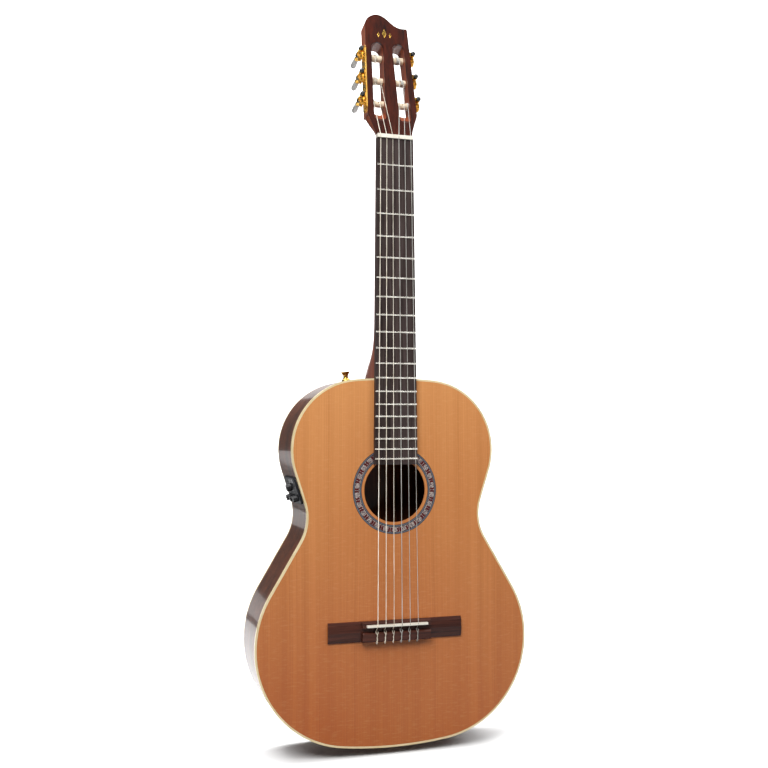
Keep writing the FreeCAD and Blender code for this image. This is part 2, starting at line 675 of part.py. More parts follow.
board_loop = polygon([(-board_half(board_low), board_low), (board_half(board_low), board_low),
                      (board_half(nut_z), nut_z), (-board_half(nut_z), nut_z)])
fingerboard = padded_body("fingerboard", [board_loop], front, "Sizes.fingerboard_thickness")
tang_half = size("fret_tang_width") / 2.0
slots = []
for z in fret_heights:
    reach = board_half(z) + 2.0
    slots.append(polygon([(-reach, z - tang_half), (reach, z - tang_half),
                          (reach, z + tang_half), (-reach, z + tang_half)]))
pocket(fingerboard, "fret_slots", slots, size("fingerboard_thickness"), "Sizes.fret_tang_depth")
frets = []
crown_half, crown = size("fret_crown_width") / 2.0, size("fret_crown_height")
fb = size("fingerboard_thickness")
for z in fret_heights:
    half = board_half(z) - size("fret_end_gap")
    arc = Part.Arc(on_front(z - crown_half, fb, -half), on_front(z, fb + crown, -half),
                   on_front(z + crown_half, fb, -half)).toShape()
    corners = [on_front(z + crown_half, fb, -half), on_front(z + tang_half, fb, -half),
               on_front(z + tang_half, fb - size("fret_tang_depth"), -half),
               on_front(z - tang_half, fb - size("fret_tang_depth"), -half),
               on_front(z - tang_half, fb, -half), on_front(z - crown_half, fb, -half)]
    edges = [arc] + [Part.makeLine(a, b) for a, b in zip(corners, corners[1:])]
    frets.append(Part.Face(Part.Wire(edges)).extrude(Vector(2 * half, 0, 0)))
publish("frets", feature("fret_wires", Part.makeCompound(frets)))

nut_half = board_half(nut_z)
nut_rule = ("Sizes.nut_width", "Sizes.fingerboard_thickness + Sizes.nut_rise", "Sizes.nut_thickness")
nut_box = box("nut_blank", nut_rule,
              Vector(-nut_half, board_face - size("nut_rise"), nut_z))
cut_from("nut", nut_box, string_shapes)

# ------------------------------------------------------------------------ head
shoulder_s = size("head_shoulder")
low_half, high_half = size("head_half_width"), size("head_top_half_width")
square_s = size("head_square_length")


def head_half(s):
    """Half width of the tapered head at a distance up its face."""
    return low_half + (high_half - low_half) * (s - shoulder_s) / (square_s - shoulder_s)


crest = [(-1.0, 0.0), (-0.93, 10.5), (-0.63, 18.2), (-0.40, 20.0), (-0.22, 18.8),
         (0.0, 15.0), (0.30, 6.6), (0.55, 2.4), (0.80, 1.4)]
top_points = [Vector(f * high_half, square_s + rise, 0) for f, rise in crest]


def head_outline(n, bottom):
    """Closed head outline in the head's own axes at height n above the face."""
    lift = Vector(0, 0, n)
    curve = Part.BSplineCurve()
    curve.interpolate([p + lift for p in top_points])
    corners = [top_points[-1], Vector(high_half * 0.97, square_s + 1.6, 0),
               Vector(high_half, square_s - 0.6, 0)]
    points = [p + lift for p in corners] + [lift + Vector(x, s, 0) for x, s in bottom]
    points.append(top_points[0] + lift)
    edges = [curve.toShape()] + [Part.makeLine(a, b) for a, b in zip(points, points[1:])]
    return Part.Wire(edges)


nut_edge = size("nut_width") / 2.0
wide = head_half(shoulder_s)
neck_in = [(wide, shoulder_s), (wide - 1.2, shoulder_s - 5.0), (wide - 4.2, shoulder_s - 13.0),
           (nut_edge + 1.6, 9.0), (nut_edge, 2.0), (nut_edge, -3.0)]
veneer_bottom = neck_in + [(-x, s) for x, s in reversed(neck_in)]
thick, skin = size("head_thickness"), size("veneer_thickness")


def capsule(a, b, half, base):
    """Face of a round-ended slot between two end centres, in the plane at height base."""
    run = Vector(b - a).normalize() * half
    across = Vector(run.y, -run.x, 0)
    edges = [Part.Arc(a + across, a - run, a - across).toShape(),
             Part.makeLine(a - across, b - across),
             Part.Arc(b - across, b + run, b + across).toShape(),
             Part.makeLine(b + across, a + across)]
    face = Part.Face(Part.Wire(edges))
    face.translate(Vector(0, 0, base))
    return face


def slot_cutter(sign):
    """String slot through the head, round ended, with a sloped floor towards the nut."""
    half = size("slot_width") / 2.0
    low = Vector(sign * size("slot_centre_low"), size("slot_start") + half, 0)
    high = Vector(sign * size("slot_centre_high"), size("slot_end") - half, 0)
    through = capsule(low, high, half, -2.0 * thick).extrude(Vector(0, 0, 3.0 * thick))
    ramp_low = low - Vector(0, size("ramp_length"), 0)
    ramp = capsule(ramp_low, low, half, -2.0 * thick).extrude(Vector(0, 0, 3.0 * thick))
    slope_start, slope_end = ramp_low.y - half, low.y
    slope = Part.makePolygon([Vector(0, slope_start, 0), Vector(0, slope_end, -size("ramp_depth")),
                              Vector(0, far, -size("ramp_depth")), Vector(0, far, far),
                              Vector(0, slope_start, far), Vector(0, slope_start, 0)])
    above = Part.Face(slope).extrude(Vector(2.0 * far, 0, 0))
    above.translate(Vector(-far, 0, 0))
    return through.fuse(ramp.common(above)).removeSplitter()


slot_tools = [placed(slot_cutter(sign), head_frame) for sign in (-1.0, 1.0)]
nut_space = Part.makeBox(200.0, 80.0, 60.0, Vector(-100.0, front - 40.0, neck_end_z - 60.0))
veneer = Part.Face(head_outline(-skin, veneer_bottom)).extrude(Vector(0, 0, skin))
veneer = placed(veneer, head_frame)

plate_bottom = [(wide, shoulder_s - 1.0), (-wide, shoulder_s - 1.0)]
head_plate = Part.Face(head_outline(-skin - thick, plate_bottom)).extrude(Vector(0, 0, thick))
head_plate = placed(head_plate, head_frame)


# -------------------------------------------------------------- neck and heel
def neck_section(half, depth, power, origin, across_depth, count=9):
    """D-shaped section: flat towards the strings, rounded towards the palm."""
    points = []
    for k in range(2 * count + 1):
        turn = math.pi * k / (2 * count)
        c, s = math.cos(turn), math.sin(turn)
        x = half * math.copysign(abs(c) ** (2.0 / power), c)
        points.append(origin + Vector(x, 0, 0) + across_depth * (depth * s ** (2.0 / power)))
    curve = Part.BSplineCurve()
    curve.interpolate(points)
    return Part.Wire([curve.toShape(), Part.makeLine(points[-1], points[0])])


into_back = Vector(0, 1, 0)
into_head = head_out * -1.0
depth_nut, depth_body = size("neck_depth_at_nut"), size("neck_depth_at_body")
# heel sections: height above the body's top, and depth as a share of the body's depth
heel_rise = [(-8.0, 1.13), (10.0, 1.076), (22.0, 0.848), (36.0, 0.5435), (54.0, 0.3152)]
shaft_low = body_top + 78.0
heel_sections = []
for rise, share in heel_rise:
    z = body_top + rise
    reach = share * size("body_depth")
    heel_sections.append(neck_section(board_half(z), reach, 2.0, Vector(0, front, z), into_back))
heel_sections.append(neck_section(board_half(shaft_low), depth_body, 2.1,
                                  Vector(0, front, shaft_low), into_back))
heel_full = Part.makeLoft(heel_sections, True, False)
shaft = Part.makeLoft([neck_section(board_half(shaft_low), depth_body, 2.1,
                                    Vector(0, front, shaft_low), into_back),
                       neck_section(nut_half, depth_nut, 2.1,
                                    Vector(0, front, neck_end_z), into_back)], True, True)
head_root = head_origin - head_out * skin
# blend sections: distance up the face, half width, depth and squareness
blend_steps = [(9.0, nut_edge + 1.6, depth_nut + 1.4, 2.8),
               (21.0, wide - 4.2, thick - 0.6, 5.0), (shoulder_s, wide, thick, 10.0)]
blend_sections = [neck_section(nut_half, depth_nut, 2.1, Vector(0, front, neck_end_z), into_back)]
for s, half, depth, power in blend_steps:
    blend_sections.append(neck_section(half, depth, power, head_root + head_up * s, into_head))
blend = Part.makeLoft(blend_sections, True, False)

cap_y = back - size("heel_cap_thickness")
cap_space = Part.makeBox(far, far, far, Vector(-far / 2.0, cap_y, body_top - far / 2.0))
cap_slab = Part.makeBox(far, back - cap_y, far, Vector(-far / 2.0, cap_y, body_top - far / 2.0))
rod_low = body_top + size("rod_end_gap")
rod_box = box("rod_bar", ("Sizes.rod_width", "Sizes.rod_depth",
                          "Sizes.scale_length / 2 - Sizes.rod_end_gap"),
              Vector(-size("rod_width") / 2.0, front, rod_low))
publish("truss_rod", rod_box)
doc.recompute()
front_waste = Part.makeBox(far, far, far, Vector(-far / 2.0, front - far, body_top - 60.0))
veneer_zone = placed(Part.makeBox(far, far, far, Vector(-far / 2.0, 0, -skin)), head_frame)
neck_solid = heel_full.cut([outer_body, cap_space]).fuse([shaft, blend, head_plate])
neck_solid = neck_solid.removeSplitter()
top_waste = front_waste.cut(Part.makeBox(far, far, far, Vector(-far / 2.0, front - far, neck_end_z)))
neck_solid = neck_solid.cut([veneer_zone.cut(nut_space), top_waste, rod_box.Shape])
heel_cap = heel_full.common(cap_slab).cut(outer_body)
publish("heel_cap", feature("heel_cap_body", heel_cap))

# ------------------------------------------------------------- tuning machines
side_lean = math.degrees(math.atan2(low_half - high_half, square_s - shoulder_s))
gear_ratio = int(size("gear_teeth"))
gear_tip, gear_root = size("gear_tip_radius"), size("gear_root_radius")
worm_tip, worm_root = size("worm_tip_radius"), size("worm_root_radius")
pitch_radius = (gear_tip + gear_root) / 2.0
lead = 2.0 * math.pi * pitch_radius / gear_ratio
worm_rise = gear_tip + worm_root + size("mesh_gap")
plate_t, plate_w, worm_v = size("plate_thickness"), size("plate_width"), size("worm_stand")
lug_t, lug_mid = size("lug_thickness"), size("lug_span") / 2.0
lug_face = lug_mid + lug_t / 2.0
run_gap, end_play = size("running_clearance"), size("end_play")
roller_r, spindle_r, shaft_r = size("roller_radius"), size("spindle_radius"), size("worm_shaft_radius")
middle_s = roller_s[1]
across_x = Vector(1, 0, 0)

# machine axes: local X out of the head's side, Y up the side, Z out of the face
machine_frame = head_frame.multiply(Placement(Vector(head_half(middle_s), middle_s, -half_depth),
                                              Rotation(Vector(0, 0, 1), side_lean)))


def on_side(shape, sign):
    """Carry a machine piece to the treble side, or its mirror image to the bass side."""
    moved = placed(shape, machine_frame)
    if sign < 0:
        moved = moved.mirror(Vector(0, 0, 0), across_x)
    return moved


def gear_wheel(centre_u):
    """Wheel with straight tapered teeth, hub and slotted screw; one tooth faces the worm."""
    step = 360.0 / gear_ratio
    root_half, tip_half = 0.27 * lead, 0.12 * lead
    points = []
    for k in range(gear_ratio):
        middle = 90.0 + k * step
        for radius, offset in ((gear_root, -root_half), (gear_tip, -tip_half),
                               (gear_tip, tip_half), (gear_root, root_half)):
            points.append(polar((0.0, 0.0), radius, middle + math.degrees(math.atan2(offset, radius))))
    inner = worm_v - size("gear_thickness") / 2.0
    outer = worm_v + size("gear_thickness") / 2.0
    corners = [Vector(inner, centre_u + b, a) for a, b in points]
    face = Part.Face(Part.makePolygon(corners + [corners[0]]))
    wheel = face.extrude(Vector(size("gear_thickness"), 0, 0))
    hub_start = plate_t + 0.3
    hub = cylinder(Vector(hub_start, centre_u, 0), across_x, size("hub_radius"), inner - hub_start)
    screw = cylinder(Vector(outer, centre_u, 0), across_x, size("gear_screw_radius"), 1.3)
    slot = centred_box(1.2, 6.0, 0.7, Vector(outer + 1.1, centre_u, 0))
    return wheel.fuse([hub, screw]).cut(slot)


def roller_solid(centre_u, s):
    """Bone roller on its spindle, seated in the centre web of the head, and the bore it runs in."""
    t = (s - size("slot_start")) / (size("slot_end") - size("slot_start"))
    slot_mid = size("slot_centre_low") + t * (size("slot_centre_high") - size("slot_centre_low"))
    centre_v = slot_mid - head_half(s)
    half = size("slot_width") / 2.0 - size("roller_end_gap")
    inner_end = centre_v - half - size("spindle_seat")
    spindle = cylinder(Vector(inner_end, centre_u, 0), across_x, spindle_r, plate_t + 0.3 - inner_end)
    barrel = cylinder(Vector(centre_v - half, centre_u, 0), across_x, roller_r, 2 * half)
    hole = cylinder(Vector(centre_v, centre_u, -roller_r - 1.0), Vector(0, 0, 1),
                    size("string_hole_radius"), 2 * roller_r + 2.0)
    bore = cylinder(Vector(inner_end - 0.2, centre_u, 0), across_x, spindle_r + run_gap, 60.0)
    return spindle.fuse(barrel).cut(hole), bore


def worm_thread():
    """Core and right-handed thread of a worm, with a gap at the wheel's tooth."""
    core_half = lug_mid - lug_t / 2.0 - end_play
    turns_height = 2.0 * core_half - 0.9 * lead
    rise = -turns_height / 2.0
    root_half, tip_half = 0.24 * lead, 0.10 * lead
    inner = worm_root - 0.35
    profile = Part.makePolygon([Vector(inner, 0, -root_half), Vector(worm_tip, 0, -tip_half),
                                Vector(worm_tip, 0, tip_half), Vector(inner, 0, root_half),
                                Vector(inner, 0, -root_half)])
    helix = Part.makeHelix(lead, turns_height, worm_root)
    thread = Part.Wire(helix).makePipeShell([profile], True, True)
    thread.translate(Vector(0, 0, rise))
    # the thread passes the wheel side (local -Y) half a lead away from the centre plane
    thread.rotate(Vector(0, 0, 0), Vector(0, 0, 1), 90.0 + 360.0 * rise / lead)
    core = Part.makeCylinder(worm_root, 2.0 * core_half, Vector(0, 0, -core_half))
    return core.fuse(thread)


# the worm runs through both lugs; its bush, collar and tang lie behind the rear one
collar_start = -lug_face - end_play
button_start = collar_start - size("collar_length")
tang_length = size("tang_length")
journal = Part.makeCylinder(shaft_r, 2.0 * lug_face + 4.0, Vector(0, 0, -lug_face - 2.0))
bush_r = size("bush_radius")
collar = revolved([(0.0, button_start), (2.9, button_start), (3.3, button_start + 1.4),
                   (2.3, button_start + 4.2), (2.1, collar_start - 5.2), (3.0, collar_start - 4.0),
                   (bush_r, collar_start - 3.2), (bush_r, collar_start - 0.6),
                   (bush_r - 0.6, collar_start), (0.0, collar_start)])
tang = centred_box(1.2, 3.6, tang_length, Vector(0, 0, button_start - tang_length / 2.0))
worm_shape = worm_thread().fuse([journal, collar, tang]).removeSplitter()
cap_low, cap_r, cap_h = lug_face + end_play, size("cap_radius"), size("cap_height")
cap_shape = turned_curve([(cap_r * 0.80, cap_low), (cap_r, cap_low + cap_h * 0.25),
                          (cap_r * 0.97, cap_low + cap_h * 0.55), (cap_r * 0.7, cap_low + cap_h * 0.85),
                          (cap_r * 0.3, cap_low + cap_h * 0.98), (0.0, cap_low + cap_h)])
cap_shape = cap_shape.cut(worm_shape)
length_b, radius_b = size("button_length"), size("button_radius")
button_curve = [(radius_b * 0.72, 0.0), (radius_b * 0.88, -length_b * 0.12),
                (radius_b * 0.98, -length_b * 0.40), (radius_b, -length_b * 0.62),
                (radius_b * 0.90, -length_b * 0.86), (radius_b * 0.5, -length_b * 0.98),
                (0.0, -length_b)]
button_shape = turned_curve(button_curve)
button_shape.translate(Vector(0, 0, button_start))
button_shape = button_shape.cut(tang)

# side plate with two lugs per worm
plate_low = roller_s[0] - middle_s - plate_w / 2.0 - size("plate_margin") + 2.0
plate_high = roller_s[-1] - middle_s + worm_rise + size("plate_margin")
plate_solid = Part.makeBox(plate_t, plate_high - plate_low, plate_w,
                           Vector(0, plate_low, -plate_w / 2.0))
plate_edges = [e for e in plate_solid.Edges
               if abs(e.Vertexes[0].Point.x - e.Vertexes[1].Point.x) > plate_t / 2.0]
plate_solid = plate_solid.makeFillet(plate_w * 0.3, plate_edges)
lugs = []
lug_bores = []
spindle_bores = []
rollers_and_wheels = []
for s in roller_s:
    centre_u = s - middle_s
    for end in (-1.0, 1.0):
        lug = Part.makeBox(worm_v + 3.0 - plate_t + 0.5, size("lug_width"), lug_t,
                           Vector(plate_t - 0.5, centre_u + worm_rise - size("lug_width") / 2.0,
                                  end * lug_mid - lug_t / 2.0))
        top_edges = [e for e in lug.Edges
                     if min(v.Point.x for v in e.Vertexes) > worm_v
                     and abs(e.Vertexes[0].Point.z - e.Vertexes[1].Point.z) > lug_t / 2.0]
        lugs.append(lug.makeFillet(2.4, top_edges))
    lug_bores.append(cylinder(Vector(worm_v, centre_u + worm_rise, -lug_mid - 6.0),
                              Vector(0, 0, 1), shaft_r + run_gap, 2.0 * lug_mid + 12.0))
    roller, bore = roller_solid(centre_u, s)
    spindle_bores.append(bore)
    rollers_and_wheels.append((roller, gear_wheel(centre_u)))

# plate screws: one at each end and one between neighbouring machines
screw_head_r = size("tuner_screw_head_radius")
screw_heights = [plate_low + size("tuner_screw_inset"), plate_high - size("tuner_screw_inset")]
screw_heights += [s - middle_s + worm_rise + size("tuner_screw_step") for s in roller_s[:-1]]
tuner_screws = []
for height in screw_heights:
    spot = Vector(plate_t, height, 0)
    shank = cylinder(spot, Vector(-1, 0, 0), size("tuner_screw_radius"), size("tuner_screw_length"))
    dome = Part.makeSphere(screw_head_r, spot - Vector(1.4, 0, 0))
    dome = dome.common(Part.makeBox(4.0, 8.0, 8.0, spot - Vector(0, 4.0, 4.0)))
    cross = centred_box(0.7, 3.0, 0.55, spot + Vector(1.1, 0, 0))
    tuner_screws.append(shank.fuse(dome).cut(cross))
plate_solid = plate_solid.fuse(lugs).removeSplitter().cut(lug_bores + spindle_bores + tuner_screws)
inside_head = Part.makeBox(far, 2.0 * far, far, Vector(plate_t - far, -far, -far / 2.0))
head_drills = [bore.common(inside_head) for bore in spindle_bores]

all_screws = []
drills = []
for sign, side in ((-1.0, "bass"), (1.0, "treble")):
    publish(side + "_tuner_plate", feature(side + "_plate_body", on_side(plate_solid, sign)))
    all_screws += [on_side(screw, sign) for screw in tuner_screws]
    drills += [on_side(drill, sign) for drill in head_drills + tuner_screws]
    for k, (roller, wheel) in enumerate(rollers_and_wheels):
        number = 6 - k if sign < 0 else 1 + k
        pair = [on_side(roller, sign), on_side(wheel, sign)]
        publish("tuner_roller_%d" % number,
                feature("roller_body_%d" % number, Part.makeCompound(pair)))
        seat = Placement(Vector(worm_v, roller_s[k] - middle_s + worm_rise, 0), Rotation())
        worm_pair = [on_side(placed(shape, seat), sign) for shape in (worm_shape, cap_shape)]
        publish("tuner_worm_%d" % number,
                feature("worm_body_%d" % number, Part.makeCompound(worm_pair)))
        publish("tuner_button_%d" % number,
                feature("button_body_%d" % number, on_side(placed(button_shape, seat), sign)))
publish("tuner_screws", feature("tuner_screw_set", Part.makeCompound(all_screws)))

neck_solid = neck_solid.cut(slot_tools).cut(drills)
publish("neck", feature("neck_body", neck_solid))
veneer = veneer.cut(slot_tools + [nut_space])
publish("head_veneer", feature("head_veneer_body", veneer))

# ------------------------------------------------------------------ end fittings
jack_r, bore_r = size("jack_barrel_radius"), size("jack_bore_radius")
flange = size("jack_flange_radius")
jack_end = size("jack_length")
jack_outer = [(bore_r, 0.0), (flange * 0.93, 0.0), (flange, 0.9), (flange * 0.88, 2.2),
              (flange * 0.62, 3.6), (flange * 0.62, tail - 4.0), (flange * 0.95, tail - 2.0),
              (flange, tail - 0.02), (jack_r, tail - 0.02), (jack_r, jack_end),
              (bore_r, jack_end)]
jack_solid = revolved(jack_outer)
jack_plug_stop = Part.makeCylinder(bore_r, 4.0, Vector(0, 0, jack_end - 4.0))
jack_solid = jack_solid.fuse(jack_plug_stop).removeSplitter()
above = Part.makeCylinder(jack_r, jack_end, Vector(0, 0, 0))
jack_solid = jack_solid.cut(outer_body.cut(above))
block_face = tail + lining_inset + size("tail_block_length")
hexagon = [polar((0.0, 0.0), size("jack_nut_radius"), 60.0 * k) for k in range(7)]
nut_ring = Part.makePolygon([Vector(x, y, block_face + 0.001) for x, y in hexagon])
jack_nut = Part.Face(nut_ring).extrude(Vector(0, 0, size("jack_nut_thickness")))
jack_nut = jack_nut.cut(Part.makeCylinder(jack_r, 60.0))
publish("end_jack", feature("end_jack_body", Part.makeCompound([jack_solid, jack_nut])))
strap_set = [placed(strap_body, strap_frame).cut(outer_body), placed(strap_screw_solid, strap_frame)]
publish("strap_button", feature("strap_button_body", Part.makeCompound(strap_set)))

# ------------------------------------------------------------------------ preamp
panel_w, panel_h = size("panel_width"), size("panel_height")
panel_t = size("panel_thickness")
panel_block = centred_box(panel_w, panel_h, panel_t + 1.0, Vector(0, 0, (panel_t - 1.0) / 2.0))
corner_edges = [e for e in panel_block.Edges
                if abs(e.Vertexes[0].Point.z - e.Vertexes[1].Point.z) > 0.5]
panel_block = panel_block.makeFillet(size("panel_corner"), corner_edges)
rim_edges = [e for e in panel_block.Edges
             if all(abs(v.Point.z - panel_t) < 1e-6 for v in e.Vertexes)]
panel_block = panel_block.makeChamfer(0.7, rim_edges)
knob_x = size("knob_spacing")
upper_row, lower_row = size("upper_row"), size("lower_row")
knobs = [("volume_knob", 0.0, upper_row, size("volume_knob_radius")),
         ("bass_knob", knob_x, lower_row, size("knob_radius")),
         ("middle_knob", 0.0, lower_row, size("knob_radius")),
         ("treble_knob", -knob_x, lower_row, size("knob_radius"))]
shaft_radius = size("knob_shaft_radius")
pot_depth = size("pot_depth")
panel_holes = []
pots = []
knob_shapes = {}
for name, x, y, radius in knobs:
    panel_holes.append(Part.makeCylinder(shaft_radius + run_gap, 30.0, Vector(x, y, -15.0)))
    pot = Part.makeCylinder(size("pot_radius"), pot_depth, Vector(x, y, -pot_depth))
    pots.append(pot.cut(Part.makeCylinder(shaft_radius + run_gap, 4.0, Vector(x, y, -4.0))))
    top = panel_t + 0.4
    grip = Part.makeCone(radius, radius * 0.86, size("knob_height"), Vector(x, y, top))
    mark = centred_box(0.8, radius * 1.1, 0.8, Vector(x, y + radius * 0.55,
                                                      top + size("knob_height")))
    flutes = []
    for k in range(12):
        turn = math.radians(30.0 * k + 15.0)
        centre = Vector(x + radius * 1.04 * math.cos(turn), y + radius * 1.04 * math.sin(turn), top - 1)
        flutes.append(Part.makeCylinder(0.55, size("knob_height") + 3.0, centre))
    grip = grip.cut([mark] + flutes)
    stem = Part.makeCylinder(shaft_radius, top + 3.6, Vector(x, y, -3.6))
    knob_shapes[name] = grip.fuse(stem).removeSplitter()
key_x, key_y, key_w, key_h = -knob_x, upper_row, size("key_width"), size("key_height")
key_hole = centred_box(key_w + 0.3, key_h + 0.3, 20.0, Vector(key_x, key_y, 3.0))
key_shape = centred_box(key_w, key_h, panel_t + 0.5, Vector(key_x, key_y, (panel_t + 0.5) / 2 + 1.0))
window_w, window_h = size("window_width"), size("window_height")
window_x, window_y = size("window_x"), size("window_y")
window = centred_box(window_w, window_h, 2.0, Vector(window_x, window_y, panel_t + 0.6))
panel_solid = in_panel(panel_block.cut(panel_holes + [key_hole, window])).cut(outer_body)
publish("preamp_panel", feature("preamp_panel_body", panel_solid))
display = centred_box(window_w, window_h, 1.0, Vector(window_x, window_y, panel_t + 0.1))
publish("tuner_display", feature("tuner_display_body", in_panel(display)))
for name, shape in knob_shapes.items():
    publish(name, feature(name + "_body", in_panel(shape)))
publish("tuner_key", feature("tuner_key_body", in_panel(key_shape)))
housing_inner = centred_box(housing_w - 2 * housing_wall, housing_h - 2 * housing_wall,
                            housing_d - housing_wall,
                            Vector(0, 0, -(housing_d - housing_wall) / 2.0))
board_t = size("board_thickness")
board_block = centred_box(housing_w - 2 * housing_wall, housing_h - 2 * housing_wall, board_t,
                          Vector(0, 0, -pot_depth - board_t / 2.0))
publish("preamp_housing", feature("preamp_housing_body",
                                  in_panel(housing_block.cut(housing_inner))))
key_post = centred_box(key_w, key_h, pot_depth, Vector(key_x, key_y, -pot_depth / 2.0))
publish("preamp_circuit_board",
        feature("circuit_board_body", in_panel(board_block.fuse(pots + [key_post]))))
battery_d = size("battery_depth")
battery = centred_box(size("battery_width"), size("battery_height"), battery_d,
                      Vector(0, 0, -housing_d + housing_wall + battery_d / 2.0))
publish("battery", feature("battery_body", in_panel(battery)))

# --------------------------------------------------------------- check and write
doc.recompute()
for item in doc.Objects:
    if any(word in item.State for word in ("Invalid", "Error")):
        raise RuntimeError("%s failed to compute: %s" % (item.Label, item.State))
os.makedirs("parts", exist_ok=True)
for node, item in nodes.items():
    shape = item.Shape
    if shape.isNull() or not shape.isValid() or not shape.Solids:
        raise RuntimeError("%s has no valid solid" % node)
    if item.Label != node:
        raise RuntimeError("%s is labelled %s" % (node, item.Label))
    shape.exportStep("parts/%s.step" % node)
print("%d nodes" % len(nodes))
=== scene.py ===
"""Looks for the classical guitar: materials, string windings and ties, light and camera."""
import json
import math
import bpy
import bmesh
from mathutils import Matrix, Vector


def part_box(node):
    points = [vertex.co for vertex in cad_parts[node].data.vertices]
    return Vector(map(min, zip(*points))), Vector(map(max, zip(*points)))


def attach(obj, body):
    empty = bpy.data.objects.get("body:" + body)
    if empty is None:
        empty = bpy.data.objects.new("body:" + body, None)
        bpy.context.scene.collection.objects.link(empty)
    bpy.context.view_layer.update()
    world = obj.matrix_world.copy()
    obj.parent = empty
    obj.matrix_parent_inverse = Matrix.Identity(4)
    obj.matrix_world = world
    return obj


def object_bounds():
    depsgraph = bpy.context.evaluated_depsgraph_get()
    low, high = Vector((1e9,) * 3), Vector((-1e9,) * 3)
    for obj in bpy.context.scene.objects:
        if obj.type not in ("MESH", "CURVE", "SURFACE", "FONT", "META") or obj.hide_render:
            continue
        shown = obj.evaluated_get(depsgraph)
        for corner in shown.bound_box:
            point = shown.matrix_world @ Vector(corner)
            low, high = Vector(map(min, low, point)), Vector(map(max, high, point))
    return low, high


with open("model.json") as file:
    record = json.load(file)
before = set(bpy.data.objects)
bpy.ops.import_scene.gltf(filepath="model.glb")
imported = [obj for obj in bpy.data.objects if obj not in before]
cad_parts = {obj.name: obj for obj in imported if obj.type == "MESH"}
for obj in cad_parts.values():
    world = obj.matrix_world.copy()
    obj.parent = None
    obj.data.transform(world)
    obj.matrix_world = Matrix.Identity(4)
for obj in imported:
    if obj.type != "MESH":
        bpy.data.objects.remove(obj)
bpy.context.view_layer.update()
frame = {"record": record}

MM = 0.001
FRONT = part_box("soundboard")[0][1]          # outer face of the soundboard
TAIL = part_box("body_bindings")[0][2]        # tail end of the body
BRIDGE_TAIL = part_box("bridge")[0][2]        # edge of the bridge nearest to the tail
NECK_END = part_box("nut")[1][2]              # where the neck meets the tilted head

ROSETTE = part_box("rosette")
HOLE_Z = 0.5 * (ROSETTE[0][2] + ROSETTE[1][2])
ROSETTE_OUTER = 0.5 * (ROSETTE[1][0] - ROSETTE[0][0])
ROSETTE_INNER = ROSETTE_OUTER - 0.0122
ROSETTE_MIDDLE = 0.5 * (ROSETTE_OUTER + ROSETTE_INNER)
MOSAIC_HALF = 0.0036                        # half the width of the ring that holds the motifs
MOTIFS, TILE = 26.0, 0.00078                # motifs round the ring, side of one mosaic tile

STRINGS = (1, 2, 3, 4, 5, 6)
STRING_RADIUS = {1: 0.00036, 2: 0.00041, 3: 0.00051, 4: 0.00040, 5: 0.00045, 6: 0.00054}
TIE_SPREAD = 56.0                           # between the outer strings at the saddle, mm
WINDING_PITCH = 0.00042                     # from one turn of a wound string to the next
ROLLER_RADIUS = 0.0047
ROLLER_TURNS, STEPS_PER_TURN = 5, 20

HEAD_LEAN = math.radians(12.5)
HEAD_UP = Vector((0.0, math.sin(HEAD_LEAN), math.cos(HEAD_LEAN)))
HEAD_OUT = Vector((0.0, -math.cos(HEAD_LEAN), math.sin(HEAD_LEAN)))
VENEER_THICKNESS = 0.0025
WHEEL_FROM = 0.0300                         # beyond this distance from the middle a roller is gilt
WORM_CAP_FROM = -0.0018                     # heights over the head's face, along the worm
WORM_BUSH = (-0.0192, -0.0159)


# ------------------------------------------------------------------ materials
def srgb(r, g, b):
    """8-bit display colour as a linear RGBA tuple."""
    def lin(v):
        v /= 255.0
        return v / 12.92 if v <= 0.04045 else ((v + 0.055) / 1.055) ** 2.4
    return (lin(r), lin(g), lin(b), 1.0)


DARK_GILT, LIGHT_GILT = srgb(168, 122, 44), srgb(224, 184, 96)


